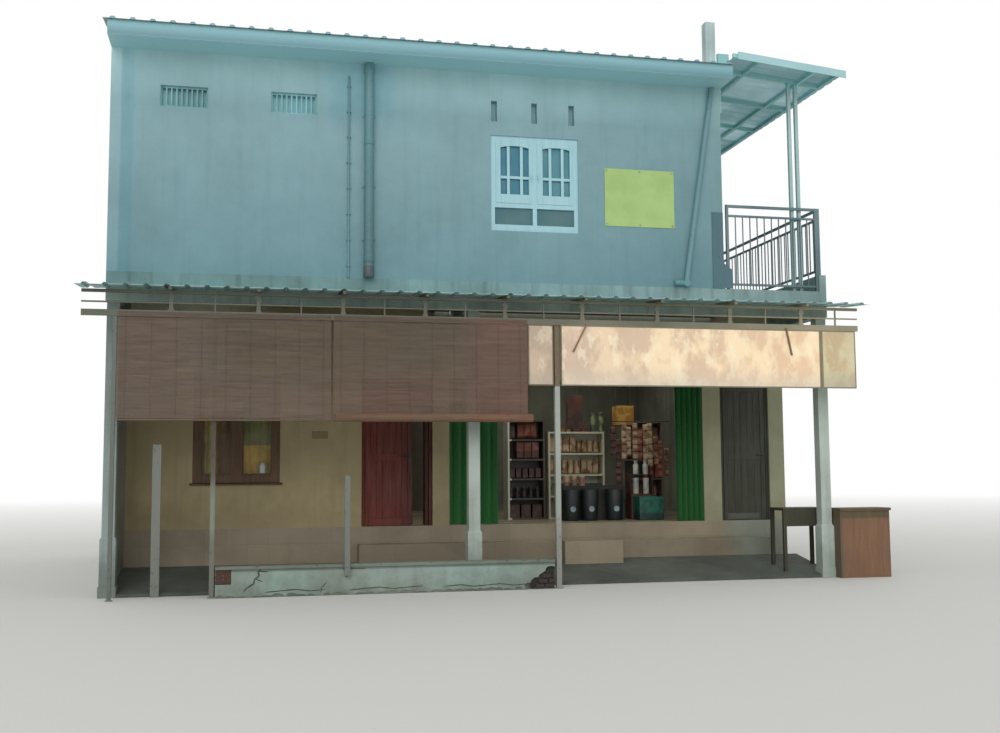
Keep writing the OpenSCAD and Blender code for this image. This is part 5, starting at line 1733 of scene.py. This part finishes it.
# %% Fly screens
# Painted light: the screens' pale paint stands in for the light that shows through the openings.
SCREEN = finish("fly_screen_painted_light", PLASTER, {
    "Paint": srgb(170, 218, 224), "Stain": srgb(116, 152, 158), "Blotch": 0.5, "Streak": 0.2}, 0.3)
DARK_SCREEN = finish("dark_screen_painted_light", PLASTER, {
    "Paint": srgb(134, 174, 180), "Stain": srgb(96, 126, 132), "Blotch": 0.4, "Streak": 0.2}, 0.3)
SCREEN_GAUGE = 0.008
for name, lefts, width, face, bottom, top, material in (
        ("vent_screens", (-4.52, -3.06), 0.617, 0.104, 6.503, 6.787, SCREEN),
        ("slot_screens", (0.02, 0.61, 1.165), 0.082, 0.075, 6.563, 6.857, DARK_SCREEN)):
    screens = []
    for left in lefts:
        screens.append(start_block(
            "screen", (left + 0.003, face, bottom), (left + width, face + SCREEN_GAUGE, top)))
    settle(join(name, screens), material)

# %% Number plate and kick plate
DARK_PLATE = finish("dark_plate", STEEL, {
    "Paint": srgb(92, 86, 66), "Rust": RUST, "Rust amount": 0.5, "Fade": 0.1}, 0.15)
tint_patch(DARK_PLATE, (2.1, 1.7, 1.25), X=(-2.5, -2.0, 0.01))
tint_patch(DARK_PLATE, (0.62, 0.72, 0.90), X=(4.0, 5.0, 0.01))
for name, low, high, rounding, body in (
        ("number_plate", (-2.385, 1.541, 2.08), (-2.155, 1.549, 2.19), 0.003, "house"),
        ("kick_plate", (4.18, 1.580, 0.80), (4.72, 1.586, 0.895), 0.002, "side_leaf")):
    assemble(name, [start_block(name, low, high)], rounding, DARK_PLATE, body)

# %% Column shoulders
SHOULDER_TOP = 0.775
SHAFT_HALF = 0.1
shoulders = []
for x in (-5.06, -0.245, 5.06):
    shoulder = start_block(
        "shoulder", (x - SHAFT_HALF, 0.0, 0.74), (x + SHAFT_HALF, 2 * SHAFT_HALF, SHOULDER_TOP))
    scale_points(
        shoulder, lambda corner: corner.z > 0.76, (0.82, 0.82, 1.0), (x, SHAFT_HALF, SHOULDER_TOP))
    shoulders.append(shoulder)
# The columns that stand on the ground have a plinth, a little wider than the base.
for x in (-5.06, 5.06):
    shoulders.append(start_block("plinth", (x - 0.113, -0.013, 0.0), (x + 0.113, 0.213, 0.14)))
assemble("column_shoulders", shoulders, 0.003, COLUMN_PAINT)

# %% Guard sheet at the end of the rail
GUARD = finish("guard_sheet", STEEL, {
    "Paint": srgb(64, 100, 110), "Rust": srgb(44, 60, 64), "Rust amount": 0.5, "Fade": 0.1}, 0.15)
guard = start_block("rail_end_guard", (3.345, -0.012, 4.245), (3.518, -0.004, 5.38))
wide_foot = start_block("guard_foot", (3.5185, -0.012, 4.245), (3.655, -0.004, 4.62))
move_points(wide_foot, lambda corner: corner.x > 3.6 and corner.z > 4.6, (0.0, 0.0, -0.1))
settle(join("rail_end_guard", [guard, wide_foot]), GUARD)

# %% [markdown]
# The house stands on a wide pale floor under a soft sun and a white sky. The floor isn't a part
# of the house, and fades into the sky far away from it.

# %% Light and floor
FADE_START, FADE_END = 14.0, 60.0


def background_rays(tree):
    """One for a ray that shows the background: to the camera, in a reflection or through glass."""
    path = tree.nodes.new("ShaderNodeLightPath")
    mirrored = place_math(tree, "MAXIMUM", path.outputs["Is Camera Ray"], path.outputs["Is Glossy Ray"])
    return place_math(tree, "MAXIMUM", mirrored, path.outputs["Is Transmission Ray"])


clear_selection()
bpy.ops.mesh.primitive_plane_add(size=900.0, location=(0.0, 0.0, -0.002))
floor = bpy.context.object
floor.name = "floor"
floor_paint, ground, shader = start_material("floor", Roughness=0.9)
shader.inputs["Base Color"].default_value = srgb(214, 214, 210)
# Far from the house the floor fades into the white behind it, wherever that shows.
away = ground.nodes.new("ShaderNodeVectorMath")
away.operation = "LENGTH"
ground.links.new(own_place(ground), away.inputs[0])
far = place_range(ground, away.outputs["Value"], FADE_START, FADE_END)
white = ground.nodes.new("ShaderNodeEmission")
fade = ground.nodes.new("ShaderNodeMixShader")
ground.links.new(place_math(ground, "MULTIPLY", far, background_rays(ground)), fade.inputs["Fac"])
ground.links.new(shader.outputs["BSDF"], fade.inputs[1])
ground.links.new(white.outputs["Emission"], fade.inputs[2])
ground.links.new(fade.outputs["Shader"], ground.nodes["Material Output"].inputs["Surface"])
floor.data.materials.append(floor_paint)

bpy.ops.object.light_add(type="SUN", rotation=(math.radians(62), math.radians(6), math.radians(-18)))
sun = bpy.context.object.data
sun.energy = 0.95
sun.angle = math.radians(45)

# Two weak lights under the ceiling keep the goods and the back of the shop from going black.
for y, power in ((2.2, 50.0), (6.2, 24.0)):
    bpy.ops.object.light_add(type="AREA", location=(1.7, y, 4.02))
    tube = bpy.context.object.data
    tube.shape = "RECTANGLE"
    tube.size = 4.5
    tube.size_y = 1.5
    tube.energy = power
    tube.color = (1.0, 0.98, 0.86)

# The sky lights the house less than it shows, so a white background doesn't bleach the walls.
scene = bpy.context.scene
scene.view_settings.view_transform = "Standard"
scene.world = bpy.data.worlds.new("sky")
scene.world.use_nodes = True
sky = scene.world.node_tree
backdrop = sky.nodes["Background"]
backdrop.inputs["Color"].default_value = (1.0, 1.0, 1.0, 1.0)
strength = place_range(sky, background_rays(sky), 0.0, 1.0, 0.75, 1.0)
sky.links.new(strength, backdrop.inputs["Strength"])
